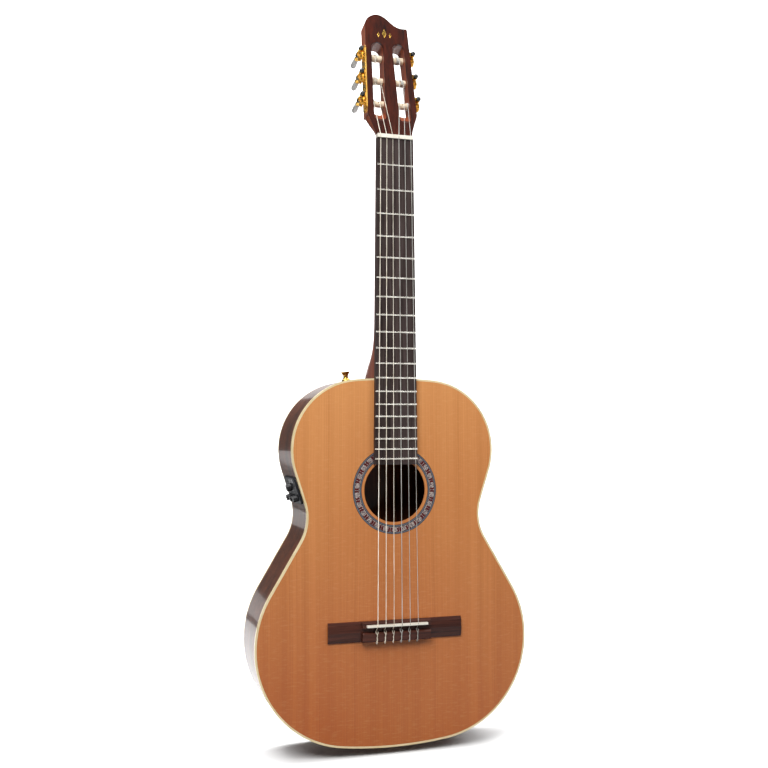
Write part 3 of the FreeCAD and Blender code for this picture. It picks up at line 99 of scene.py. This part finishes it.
class Graph:
    """Small helper that builds one procedural material."""

    def __init__(self, name, **settings):
        self.mat = bpy.data.materials.new(name)
        self.mat.use_nodes = True
        self.tree = self.mat.node_tree
        self.shader = self.tree.nodes["Principled BSDF"]
        for key, value in settings.items():
            socket = key.replace("_", " ").title().replace("Ior", "IOR")
            self.shader.inputs[socket].default_value = value

    def node(self, kind, **inputs):
        made = self.tree.nodes.new(kind)
        for key, value in inputs.items():
            self.plug(value, made.inputs[key.replace("_", " ").title()])
        return made

    def plug(self, value, socket):
        if isinstance(value, bpy.types.NodeSocket):
            self.tree.links.new(value, socket)
        else:
            socket.default_value = value

    def math(self, operation, *values):
        made = self.tree.nodes.new("ShaderNodeMath")
        made.operation = operation
        for value, socket in zip(values, made.inputs):
            self.plug(value, socket)
        return made.outputs[0]

    def place(self):
        """Object position split in metres."""
        spot = self.tree.nodes.new("ShaderNodeTexCoord")
        split = self.tree.nodes.new("ShaderNodeSeparateXYZ")
        self.tree.links.new(spot.outputs["Object"], split.inputs[0])
        return split.outputs

    def join(self, x, y, z):
        made = self.tree.nodes.new("ShaderNodeCombineXYZ")
        for value, socket in zip((x, y, z), made.inputs):
            self.plug(value, socket)
        return made.outputs[0]

    def scaled(self, axes, sx, sy, sz):
        """The position stretched by a factor along each axis."""
        return self.join(self.math("MULTIPLY", axes[0], sx), self.math("MULTIPLY", axes[1], sy),
                         self.math("MULTIPLY", axes[2], sz))

    def noise(self, vector, detail=3.0, roughness=0.55, distortion=0.0, scale=1.0):
        made = self.node("ShaderNodeTexNoise", vector=vector, scale=scale, detail=detail,
                         roughness=roughness, distortion=distortion)
        return made.outputs[0]

    def specks(self, axes, size, *settings):
        """Noise of the same grain along all three axes."""
        return self.noise(self.scaled(axes, size, size, size), *settings)

    def ramp(self, factor, *stops):
        made = self.tree.nodes.new("ShaderNodeValToRGB")
        self.plug(factor, made.inputs[0])
        band = made.color_ramp
        while len(band.elements) < len(stops):
            band.elements.new(0.5)
        for element, (place, colour) in zip(band.elements, stops):
            element.position = place
            element.color = colour
        return made.outputs[0]

    def mix(self, factor, a, b, blend="MIX"):
        made = self.tree.nodes.new("ShaderNodeMix")
        made.data_type = "RGBA"
        made.blend_type = blend
        self.plug(factor, made.inputs[0])
        self.plug(a, made.inputs[6])
        self.plug(b, made.inputs[7])
        return made.outputs[2]

    def grey(self, factor, low, high):
        """Map 0..1 to a range of numbers."""
        return self.math("ADD", self.math("MULTIPLY", factor, high - low), low)

    def colour(self, value):
        self.plug(value, self.shader.inputs["Base Color"])

    def roughness(self, value):
        self.plug(value, self.shader.inputs["Roughness"])

    def bump(self, height, strength, distance):
        made = self.node("ShaderNodeBump", strength=strength, distance=distance, height=height)
        self.tree.links.new(made.outputs[0], self.shader.inputs["Normal"])


def cedar():
    """Book-matched cedar: fine upright grain, soft bands, a trace of cross silk, and painted light:
    lighter towards the neck end, darker towards the tail.
    """
    g = Graph("cedar_top", coat_weight=0.18, coat_roughness=0.18, specular_ior_level=0.2)
    x, y, z = g.place()
    half = g.math("ABSOLUTE", x)
    drift = g.noise(g.join(g.math("MULTIPLY", half, 9.0), 0.0, g.math("MULTIPLY", z, 2.2)), 2.0)
    across = g.math("ADD", half, g.math("MULTIPLY", drift, 0.010))
    rings = g.noise(g.join(g.math("MULTIPLY", across, 760.0), 3.0, g.math("MULTIPLY", z, 1.6)),
                    4.0, 0.65)
    fibre = g.noise(g.join(g.math("MULTIPLY", across, 2600.0), 7.0,
                           g.math("MULTIPLY", z, 60.0)), 3.0, 0.6)
    silk = g.noise(g.join(g.math("MULTIPLY", x, 90.0), 1.0, g.math("MULTIPLY", z, 420.0)), 3.0)
    bands = g.noise(g.join(g.math("MULTIPLY", across, 48.0), 5.0, g.math("MULTIPLY", z, 0.5)), 2.0)
    cloud = g.noise(g.scaled((x, y, z), 7.0, 7.0, 4.0), 2.0)
    grain = g.math("MULTIPLY_ADD", bands, 0.45, g.math("MULTIPLY", rings, 0.55))
    # painted light: the top is coloured lighter towards the neck end and darker towards the tail,
    # for the light that falls on it
    lit_upper_tone = g.ramp(grain, (0.32, srgb(206, 138, 80)), (0.68, srgb(230, 162, 100)))
    shaded_lower_tone = g.ramp(grain, (0.32, srgb(168, 88, 42)), (0.68, srgb(198, 112, 56)))
    height = g.math("MULTIPLY_ADD", g.math("SUBTRACT", z, TAIL), 2.05,
                    g.math("MULTIPLY_ADD", cloud, 0.5, -0.25))
    base = g.mix(g.math("MINIMUM", g.math("MAXIMUM", height, 0.0), 1.0), shaded_lower_tone, lit_upper_tone)
    base = g.mix(g.grey(fibre, 0.0, 0.22), base, srgb(168, 96, 52), "MULTIPLY")
    base = g.mix(g.ramp(silk, (0.52, (0, 0, 0, 1)), (0.70, (0.10, 0.10, 0.10, 1))), base,
                 srgb(244, 190, 132))
    g.colour(base)
    g.roughness(g.grey(rings, 0.36, 0.48))
    g.bump(g.math("ADD", rings, g.math("MULTIPLY", fibre, 0.5)), 0.08, 0.0003)
    return g.mat


def dark_wood(name, dark, light, along, gloss, streak=1.0, pores=0.25, red=None, polish=0.05):
    """Striped dark wood; along picks the axis that the grain follows."""
    g = Graph(name, coat_weight=gloss, coat_roughness=polish, specular_ior_level=0.12)
    axes = g.place()
    stretch = [34.0, 34.0, 34.0]
    stretch[along] = 1.6
    wander = g.noise(g.scaled(axes, *[4.0 if k != along else 1.2 for k in range(3)]), 2.0)
    warped = [g.math("MULTIPLY_ADD", wander, 0.02 if k != along else 0.0, axes[k])
              for k in range(3)]
    stripe = g.noise(g.scaled(warped, *[s * 4.5 for s in stretch]), 4.0, 0.62, 0.25)
    broad = g.noise(g.scaled(warped, *stretch), 2.0, 0.5, 0.35)
    fine = [900.0, 900.0, 900.0]
    fine[along] = 28.0
    pore = g.noise(g.scaled(axes, *fine), 2.0, 0.5)
    mixed = g.math("ADD", g.math("MULTIPLY", stripe, 0.6), g.math("MULTIPLY", broad, 0.4))
    tint = g.ramp(mixed, (0.50 - 0.17 * streak, dark), (0.50 + 0.17 * streak, light))
    if red is not None:
        tint = g.mix(g.ramp(broad, (0.52, (0, 0, 0, 1)), (0.72, (0.5, 0.5, 0.5, 1))), tint, red)
    tint = g.mix(g.ramp(pore, (0.36, (pores, pores, pores, 1)), (0.48, (0, 0, 0, 1))), tint,
                 srgb(14, 8, 6))
    g.colour(tint)
    g.roughness(g.grey(pore, 0.46, 0.30))
    g.bump(pore, 0.12, 0.0003)
    return g.mat


def rosette_inlay():
    """Ring mosaic: slate borders round pairs of maroon blocks on a speckled grey ground."""
    g = Graph("rosette_inlay", coat_weight=0.12, coat_roughness=0.14, roughness=0.4,
              specular_ior_level=0.2)
    x, y, z = g.place()
    up = g.math("SUBTRACT", z, HOLE_Z)
    radius = g.math("SQRT", g.math("ADD", g.math("MULTIPLY", x, x), g.math("MULTIPLY", up, up)))
    pitch = 2.0 * math.pi * ROSETTE_MIDDLE / MOTIFS
    turn = g.math("MULTIPLY", g.math("ARCTAN2", x, up), MOTIFS / (2.0 * math.pi))
    cell = g.math("SUBTRACT", g.math("FRACT", g.math("ADD", turn, MOTIFS)), 0.5)
    aside = g.math("ABSOLUTE", g.math("SNAP", g.math("MULTIPLY", cell, pitch), TILE))
    offset = g.math("SUBTRACT", radius, ROSETTE_MIDDLE)
    away = g.math("ABSOLUTE", g.math("SNAP", offset, TILE))
    speck = g.specks((x, y, z), 1500.0, 2.0)
    tiles = g.node("ShaderNodeTexWhiteNoise")
    tiles.noise_dimensions = "2D"
    g.plug(g.join(g.math("SNAP", g.math("MULTIPLY", turn, pitch), TILE),
                  g.math("SNAP", offset, TILE), 0.0), tiles.inputs["Vector"])
    # each motif is two upright blocks, narrower at the waist, joined by a short bar
    block = g.math("MULTIPLY", g.math("GREATER_THAN", aside, 0.0004),
                   g.math("LESS_THAN", aside, g.math("MULTIPLY_ADD", away, 0.40, 0.0024)))
    block = g.math("MULTIPLY", block, g.math("LESS_THAN", away, 0.0027))
    bar = g.math("MULTIPLY", g.math("LESS_THAN", aside, 0.0008), g.math("LESS_THAN", away, 0.0006))
    motif = g.math("MAXIMUM", block, bar)
    ground = g.ramp(g.math("MULTIPLY_ADD", tiles.outputs[0], 0.6, g.math("MULTIPLY", speck, 0.4)),
                    (0.20, srgb(60, 54, 62)), (0.50, srgb(136, 118, 116)),
                    (0.80, srgb(208, 196, 186)))
    maroon = g.ramp(speck, (0.35, srgb(44, 6, 10)), (0.65, srgb(102, 18, 22)))
    slate = g.ramp(speck, (0.3, srgb(70, 78, 88)), (0.7, srgb(112, 118, 126)))
    tint = g.mix(motif, ground, maroon)
    tint = g.mix(g.math("GREATER_THAN", g.math("ABSOLUTE", offset), MOSAIC_HALF), tint, slate)
    for ring in (ROSETTE_OUTER - 0.0003, ROSETTE_MIDDLE + MOSAIC_HALF,
                 ROSETTE_MIDDLE - MOSAIC_HALF, ROSETTE_INNER + 0.0003):
        line = g.math("LESS_THAN", g.math("ABSOLUTE", g.math("SUBTRACT", radius, ring)), 0.00032)
        tint = g.mix(line, tint, srgb(34, 32, 38))
    g.colour(tint)
    g.bump(speck, 0.05, 0.0002)
    return g.mat


def plastic(name, low, high, rough=(0.3, 0.45), coat=0.0, grain=1600.0, depth=0.06, shine=0.5):
    """Moulded plastic with a fine mottled skin."""
    g = Graph(name, coat_weight=coat, coat_roughness=0.08, specular_ior_level=shine)
    axes = g.place()
    skin = g.specks(axes, grain)
    cloud = g.specks(axes, 60.0, 2.0)
    g.colour(g.ramp(g.math("MULTIPLY_ADD", cloud, 0.6, g.math("MULTIPLY", skin, 0.4)),
                    (0.35, low), (0.65, high)))
    g.roughness(g.grey(skin, *rough))
    g.bump(skin, depth, 0.0002)
    return g.mat


def metal(name, low, high, rough=(0.16, 0.34), brushed=None):
    """Plated metal with faint wipe marks; brushed picks a scratch axis."""
    g = Graph(name, metallic=1.0)
    axes = g.place()
    stretch = [700.0, 700.0, 700.0]
    if brushed is not None:
        stretch[brushed] = 30.0
    marks = g.noise(g.scaled(axes, *stretch), 3.0)
    haze = g.specks(axes, 120.0)
    g.colour(g.ramp(haze, (0.3, low), (0.7, high)))
    g.roughness(g.grey(g.math("MULTIPLY", marks, haze), rough[0], rough[1] * 1.6))
    g.bump(marks, 0.05, 0.0001)
    return g.mat


def roller_material():
    """Bone barrel between the head's cheeks, gilt wheel and hub outside them."""
    g = Graph("bone_roller_gilt_wheel")
    axes = g.place()
    outside = g.math("GREATER_THAN", g.math("ABSOLUTE", axes[0]), WHEEL_FROM)
    grain = g.noise(g.scaled(axes, 90.0, 700.0, 700.0), 3.0)
    bone = g.ramp(grain, (0.3, srgb(214, 192, 160)), (0.7, srgb(250, 234, 208)))
    gilt = g.ramp(grain, (0.3, DARK_GILT), (0.7, LIGHT_GILT))
    g.colour(g.mix(outside, bone, gilt))
    g.plug(outside, g.shader.inputs["Metallic"])
    g.roughness(g.grey(grain, 0.22, 0.38))
    g.bump(grain, 0.08, 0.0002)
    return g.mat


def worm_material():
    """Gilt worm and collar with a black cap on the end that faces forward."""
    g = Graph("gilt_worm_black_cap")
    axes = g.place()
    haze = g.specks(axes, 300.0)
    out = g.math("ADD", g.math("MULTIPLY", g.math("SUBTRACT", axes[1], FRONT), HEAD_OUT.y),
                 g.math("MULTIPLY", g.math("SUBTRACT", axes[2], NECK_END), HEAD_OUT.z))
    bush = g.math("MULTIPLY", g.math("LESS_THAN", out, WORM_BUSH[1]),
                  g.math("GREATER_THAN", out, WORM_BUSH[0]))
    capped = g.math("MAXIMUM", g.math("GREATER_THAN", out, WORM_CAP_FROM), bush)
    gilt = g.ramp(haze, (0.3, DARK_GILT), (0.7, LIGHT_GILT))
    black = g.ramp(haze, (0.3, srgb(14, 14, 15)), (0.7, srgb(30, 30, 32)))
    g.colour(g.mix(capped, gilt, black))
    g.plug(g.math("SUBTRACT", 1.0, capped), g.shader.inputs["Metallic"])
    g.roughness(g.grey(haze, 0.18, 0.34))
    return g.mat


def pearl():
    """Pearloid with soft swirls."""
    g = Graph("pearl_button", coat_weight=0.8, coat_roughness=0.05)
    axes = g.place()
    warp = g.specks(axes, 160.0, 3.0, 0.6, 2.4)
    swirl = g.specks(axes, 420.0, 3.0, 0.6, 3.2)
    g.colour(g.ramp(g.math("MULTIPLY_ADD", warp, 0.6, g.math("MULTIPLY", swirl, 0.4)),
                    (0.35, srgb(168, 170, 170)), (0.50, srgb(208, 208, 204)),
                    (0.65, srgb(236, 235, 230))))
    g.roughness(g.grey(swirl, 0.14, 0.26))
    return g.mat


def wound_string():
    """Silvered winding: fine turns along the run."""
    g = Graph("wound_string", metallic=0.85)
    axes = g.place()
    turns = g.math("SINE", g.math("MULTIPLY", axes[2], 2.0 * math.pi / WINDING_PITCH))
    tone = g.noise(g.scaled(axes, 40.0, 40.0, 60.0), 2.0)
    g.colour(g.ramp(tone, (0.3, srgb(196, 186, 168)), (0.7, srgb(234, 228, 214))))
    g.roughness(g.grey(tone, 0.30, 0.42))
    g.bump(turns, 0.5, 0.0001)
    return g.mat


def nylon():
    """Clear monofilament."""
    g = Graph("clear_nylon", ior=1.5, transmission_weight=0.35)
    axes = g.place()
    tone = g.noise(g.scaled(axes, 80.0, 80.0, 30.0), 2.0)
    g.colour(g.ramp(tone, (0.3, srgb(196, 194, 186)), (0.7, srgb(232, 230, 224))))
    g.roughness(g.grey(tone, 0.12, 0.24))
    return g.mat


def circuit():
    """Green board with tracks."""
    g = Graph("circuit_board", coat_weight=0.3)
    axes = g.place()
    bricks = g.node("ShaderNodeTexBrick", vector=g.join(axes[1], axes[2], 0.0), scale=180.0)
    g.plug(srgb(20, 74, 44), bricks.inputs["Color1"])
    g.plug(srgb(26, 92, 54), bricks.inputs["Color2"])
    g.plug(srgb(150, 128, 60), bricks.inputs["Mortar"])
    g.colour(bricks.outputs[0])
    g.roughness(g.grey(g.specks(axes, 900.0), 0.35, 0.5))
    return g.mat


ROSEWOOD = dark_wood("rosewood_lacquered", srgb(36, 15, 7), srgb(104, 54, 26), 2, 0.42,
                     red=srgb(88, 40, 22), polish=0.08)
MAHOGANY = dark_wood("mahogany_neck", srgb(112, 48, 24), srgb(168, 84, 46), 2, 0.7, 1.2, 0.3)
VENEER = dark_wood("head_veneer", srgb(24, 4, 1), srgb(80, 26, 8), 2, 0.4, 1.0)
BOARD = dark_wood("fingerboard_wood", srgb(38, 30, 29), srgb(78, 66, 64), 2, 0.05, 0.8, 0.3)
BRIDGE = dark_wood("bridge_wood", srgb(34, 13, 10), srgb(92, 50, 38), 0, 0.08, 0.9, 0.3)
SPRUCE = dark_wood("spruce_inside", srgb(176, 140, 92), srgb(212, 180, 132), 2, 0.0, 1.4, 0.05)
CEDAR = cedar()
CREAM = plastic("cream_binding", srgb(222, 200, 150), srgb(240, 222, 178), (0.25, 0.35), 0.3)
BONE = plastic("bone_white", srgb(224, 216, 198), srgb(248, 244, 232), (0.25, 0.36), 0.3, 900.0)
BLACK = plastic("black_moulding", srgb(24, 25, 28), srgb(44, 46, 50), (0.42, 0.56), 0.0, 2200.0,
                0.14, shine=0.12)
KNOB = plastic("black_knob", srgb(12, 12, 14), srgb(24, 24, 27), (0.30, 0.42), 0.05, shine=0.2)
SCREEN = plastic("display_window", srgb(196, 200, 204), srgb(232, 234, 236), (0.08, 0.14), 0.8)
GOLD = metal("gold_plate", DARK_GILT, LIGHT_GILT)
FRET = metal("nickel_silver", srgb(186, 182, 172), srgb(230, 228, 220), (0.16, 0.28), 0)
STEEL = metal("plain_steel", srgb(120, 120, 122), srgb(170, 170, 172), (0.3, 0.45), 2)

finishes = {
    "soundboard": CEDAR, "back_plate": ROSEWOOD, "bass_side": ROSEWOOD, "treble_side": ROSEWOOD,
    "heel_cap": ROSEWOOD, "body_bindings": CREAM, "kerfed_linings": SPRUCE,
    "neck_block": MAHOGANY, "tail_block": MAHOGANY, "soundboard_braces": SPRUCE,
    "back_braces": SPRUCE, "rosette": rosette_inlay(), "bridge": BRIDGE, "saddle": BONE,
    "saddle_pickup": STEEL, "neck": MAHOGANY, "truss_rod": STEEL, "fingerboard": BOARD,
    "frets": FRET, "nut": BONE, "head_veneer": VENEER, "bass_tuner_plate": GOLD,
    "treble_tuner_plate": GOLD, "tuner_screws": GOLD, "strap_button": GOLD, "end_jack": GOLD,
    "preamp_panel": BLACK, "preamp_housing": BLACK, "preamp_circuit_board": circuit(),
    "battery": metal("battery_case", srgb(40, 42, 46), srgb(70, 72, 76), (0.3, 0.4)),
    "tuner_display": SCREEN, "volume_knob": KNOB, "bass_knob": KNOB, "middle_knob": KNOB,
    "treble_knob": KNOB, "tuner_key": KNOB,
}
WOUND, NYLON, PEARL = wound_string(), nylon(), pearl()
ROLLER, WORM = roller_material(), worm_material()
for number in STRINGS:
    finishes["string_%d" % number] = WOUND if number > 3 else NYLON
    finishes["tuner_worm_%d" % number] = WORM
    finishes["tuner_button_%d" % number] = PEARL
    finishes["tuner_roller_%d" % number] = ROLLER

for name, finish in finishes.items():
    item = bpy.data.objects[name]
    if not item.material_slots:
        item.data.materials.append(finish)
    for place in item.material_slots:
        place.material = finish


# -------------------------------------------------------------------- meshes
def skin(bm, rings):
    """Quads between each closed ring of vertices and the next."""
    for low, high in zip(rings, rings[1:]):
        sides = len(low)
        for i in range(sides):
            bm.faces.new((low[i], low[(i + 1) % sides], high[(i + 1) % sides], high[i]))


def build(name, bm, finish, rounded):
    """Object in the scene with the mesh and one material."""
    mesh = bpy.data.meshes.new(name)
    bm.to_mesh(mesh)
    bm.free()
    for face in mesh.polygons:
        face.use_smooth = rounded
    mesh.materials.append(finish)
    made = bpy.data.objects.new(name, mesh)
    bpy.context.scene.collection.objects.link(made)
    return made


def smooth(points, steps=8):
    """Points along a smooth curve through the given ones."""
    out = []
    last = len(points) - 1
    for k in range(last):
        p = [Vector(points[max(0, min(last, k + d))]) for d in (-1, 0, 1, 2)]
        for i in range(steps):
            t = i / steps
            out.append(0.5 * (2.0 * p[1] + (p[2] - p[0]) * t
                              + (2.0 * p[0] - 5.0 * p[1] + 4.0 * p[2] - p[3]) * t * t
                              + (3.0 * p[1] - p[0] - 3.0 * p[2] + p[3]) * t * t * t))
    out.append(Vector(points[-1]))
    return out


def tube(name, points, radius, finish, body, sides=8):
    """Round cord through the points with closed, domed ends."""
    bm = bmesh.new()
    rings = []
    tangent = (points[1] - points[0]).normalized()
    side = tangent.orthogonal().normalized()
    for k, point in enumerate(points):
        ahead_of = points[min(k + 1, len(points) - 1)]
        tangent = (ahead_of - points[max(k - 1, 0)]).normalized()
        side = (side - tangent * side.dot(tangent)).normalized()
        other = tangent.cross(side)
        rings.append([bm.verts.new(point + radius * (side * math.cos(a) + other * math.sin(a)))
                      for a in (2.0 * math.pi * i / sides for i in range(sides))])
    skin(bm, rings)
    for ring, end, way in ((rings[0], points[0], points[0] - points[1]),
                           (rings[-1], points[-1], points[-1] - points[-2])):
        tip = bm.verts.new(end + way.normalized() * radius * 0.6)
        for i in range(sides):
            bm.faces.new((ring[i], ring[(i + 1) % sides], tip))
    bmesh.ops.recalc_face_normals(bm, faces=bm.faces)
    made = build(name, bm, finish, True)
    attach(made, body)


joints = {joint["name"]: joint for joint in frame["record"]["behaviour"]["joints"]}


def winding_points(number):
    """Turns laid side by side round the roller, where the string reaches it."""
    r = STRING_RADIUS[number]
    joint = joints["roller_%d_turn" % number]
    axis = Vector(joint["axis"]).normalized()
    centre = Vector(joint["pos_m"])
    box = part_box("string_%d" % number)
    outward = 1.0 if centre.x > 0 else -1.0
    reach_x = box[1][0] if outward > 0 else box[0][0]
    start = centre + axis * ((reach_x - outward * r - centre.x) / axis.x)
    normal = (HEAD_OUT - axis * HEAD_OUT.dot(axis)).normalized()
    side = axis.cross(normal)
    inward = -1.0 if axis.x * outward > 0 else 1.0
    coil = []
    for k in range(ROLLER_TURNS * STEPS_PER_TURN + 1):
        a = 2.0 * math.pi * k / STEPS_PER_TURN
        along = inward * 2.06 * r * k / STEPS_PER_TURN
        coil.append(start + axis * along
                    + (normal * math.cos(a) + side * math.sin(a)) * (ROLLER_RADIUS + r))
    return coil


def tie_points(number):
    """Over the tie block, round the string at its front edge, and back to a short tail."""
    x = 0.5 * (TIE_SPREAD - 2.0 * TIE_SPREAD * (number - 1) / 5.0)
    w = max(STRING_RADIUS[number] / 0.00045, 0.9)       # thick strings make a wider loop
    route = [(x, 5.0, -1.4), (x, 6.0, -2.5), (x + 0.1, 8.4, -2.2), (x + 0.2, 9.7, 0.2),
             (x + 0.4, 9.7, 4.0), (x + 0.3, 9.8, 8.5), (x + 0.9, 9.9, 11.6),
             (x + 1.5 * w, 8.6, 13.4), (x + 0.9 * w, 6.2, 14.6), (x - 0.9 * w, 6.4, 14.8),
             (x - 1.4 * w, 8.6, 13.6), (x - 0.9, 10.2, 11.4), (x + 0.2, 10.9, 9.0),
             (x - 0.5, 10.4, 6.0), (x - 0.2, 10.4, 3.0), (x - 0.9, 10.3, 0.6), (x - 1.3, 9.4, -1.1)]
    return smooth([(a * MM, FRONT - rise * MM, BRIDGE_TAIL + b * MM) for a, rise, b in route])


for number in STRINGS:
    finish, slot = (WOUND, "wound_string") if number > 3 else (NYLON, "nylon_string")
    r = STRING_RADIUS[number]
    tube("string_winding_%d" % number, winding_points(number), r, finish, "roller_%d" % number)
    tube("string_tie_%d" % number, tie_points(number), r, finish, "guitar")

# a row of three plain lozenges let into the head above the slots
HEAD_FACE = Vector((0.0, FRONT, NECK_END)) + HEAD_OUT * VENEER_THICKNESS
bm = bmesh.new()
for middle_x, middle_s, half_w, half_h in ((-0.004, 0.158, 0.0030, 0.0075),
                                           (-0.0125, 0.156, 0.0016, 0.0040),
                                           (0.0045, 0.156, 0.0016, 0.0040)):
    rims = []
    for lift, shrink in ((-0.0001, 1.0), (0.00012, 1.0), (0.0002, 0.82)):
        corners = ((-half_w, 0.0), (0.0, -half_h), (half_w, 0.0), (0.0, half_h))
        rims.append([bm.verts.new(HEAD_FACE + Vector((middle_x + a * shrink, 0.0, 0.0))
                                  + HEAD_UP * (middle_s + b * shrink) + HEAD_OUT * lift)
                     for a, b in corners])
    skin(bm, rims)
    bm.faces.new(rims[-1])
    bm.faces.new(rims[0][::-1])
bmesh.ops.recalc_face_normals(bm, faces=bm.faces)
lozenges = build("head_lozenges", bm, GOLD, False)
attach(lozenges, "guitar")

# --------------------------------------------------------------------- stage
FLOOR_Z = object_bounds()[0][2]
FLOOR_FRONT, FLOOR_END = -6.0, 1.6
BEND_RADIUS, BEND_STEPS = 1.2, 12
BACKDROP_TOP = 6.0
STAGE_HALF_WIDTH = 7.0
SURROUND_LIGHT = 0.15


def stage_piece(name, profile, in_gloss):
    """Pale sheet swept along X from a (y, z) profile, standing on the floor level."""
    g = Graph(name, roughness=0.9)
    g.colour(g.ramp(g.specks(g.place(), 2.0),
                    (0.3, (0.92, 0.92, 0.92, 1)), (0.7, (0.95, 0.95, 0.95, 1))))
    bm = bmesh.new()
    near, far = [[bm.verts.new((x, y, z)) for y, z in profile]
                 for x in (-STAGE_HALF_WIDTH, STAGE_HALF_WIDTH)]
    for k in range(len(profile) - 1):
        bm.faces.new((near[k], far[k], far[k + 1], near[k + 1]))
    sheet = build(name, bm, g.mat, True)
    sheet.location.z = FLOOR_Z
    sheet.visible_glossy = in_gloss
    sheet.visible_diffuse = False


bend = [(FLOOR_END + BEND_RADIUS * math.sin(a), BEND_RADIUS - BEND_RADIUS * math.cos(a))
        for a in (0.5 * math.pi * k / BEND_STEPS for k in range(BEND_STEPS + 1))]
stage_piece("studio_floor", [(FLOOR_FRONT, 0.0), (FLOOR_END, 0.0)], True)
stage_piece("studio_backdrop", bend + [(FLOOR_END + BEND_RADIUS, BACKDROP_TOP)], False)

world = bpy.data.worlds.new("studio_air")
world.use_nodes = True
air = world.node_tree.nodes["Background"]
air.inputs["Color"].default_value = (1, 1, 1, 1)
air.inputs["Strength"].default_value = SURROUND_LIGHT
bpy.context.scene.world = world


def softbox(name, spot, target, width, height, power):
    """Rectangular light of so many watts at a spot, turned to the target."""
    lamp = bpy.data.lights.new(name, "AREA")
    lamp.shape = "RECTANGLE"
    lamp.size, lamp.size_y = width, height
    lamp.energy = power
    made = bpy.data.objects.new(name, lamp)
    made.location = spot
    made.rotation_euler = (Vector(target) - Vector(spot)).to_track_quat("-Z", "Y").to_euler()
    bpy.context.scene.collection.objects.link(made)


softbox("key_left", (-0.9, -1.4, 2.0), (0, 0, 0.75), 1.2, 1.2, 52.0)
softbox("fill_right", (1.4, -1.5, 1.9), (0, 0, 0.75), 1.0, 1.2, 21.0)
softbox("top_wash", (0.0, 0.4, 3.0), (0, 0.3, 0.0), 3.2, 2.6, 115.0)
softbox("back_card", (0.55, 2.5, 1.2), (-0.1, 0.0, 0.45), 1.1, 1.0, 4.0)
softbox("low_card", (-1.0, 2.4, 0.17), (-0.2, 0.0, 0.25), 0.9, 0.34, 1.1)
softbox("backdrop_wash", (1.0, 0.9, 2.9), (1.0, 2.7, 1.0), 5.0, 0.8, 150.0)

# -------------------------------------------------------------------- camera
CAMERA_SPOT = Vector((-0.39887, FRONT - 1.25817, TAIL + 0.41387))
CAMERA_YAW, CAMERA_PITCH, CAMERA_ROLL = math.radians(16.97), math.radians(2.87), math.radians(-0.13)
LENS_MM, SENSOR_MM = 46.01, 36.0

level = Vector((math.cos(CAMERA_YAW), -math.sin(CAMERA_YAW), 0.0))
ahead = Vector((math.sin(CAMERA_YAW), math.cos(CAMERA_YAW), 0.0))
up = Vector((0.0, 0.0, 1.0))
look = ahead * math.cos(CAMERA_PITCH) + up * math.sin(CAMERA_PITCH)
rise = up * math.cos(CAMERA_PITCH) - ahead * math.sin(CAMERA_PITCH)
right = level * math.cos(CAMERA_ROLL) + rise * math.sin(CAMERA_ROLL)
top = rise * math.cos(CAMERA_ROLL) - level * math.sin(CAMERA_ROLL)
lens = bpy.data.cameras.new("camera")
lens.sensor_width = SENSOR_MM
lens.lens = LENS_MM
camera = bpy.data.objects.new("camera", lens)
camera.matrix_world = Matrix(((right.x, top.x, -look.x, CAMERA_SPOT.x),
                              (right.y, top.y, -look.y, CAMERA_SPOT.y),
                              (right.z, top.z, -look.z, CAMERA_SPOT.z),
                              (0.0, 0.0, 0.0, 1.0)))
bpy.context.scene.collection.objects.link(camera)
bpy.context.scene.camera = camera
bpy.context.scene.view_settings.view_transform = "Standard"
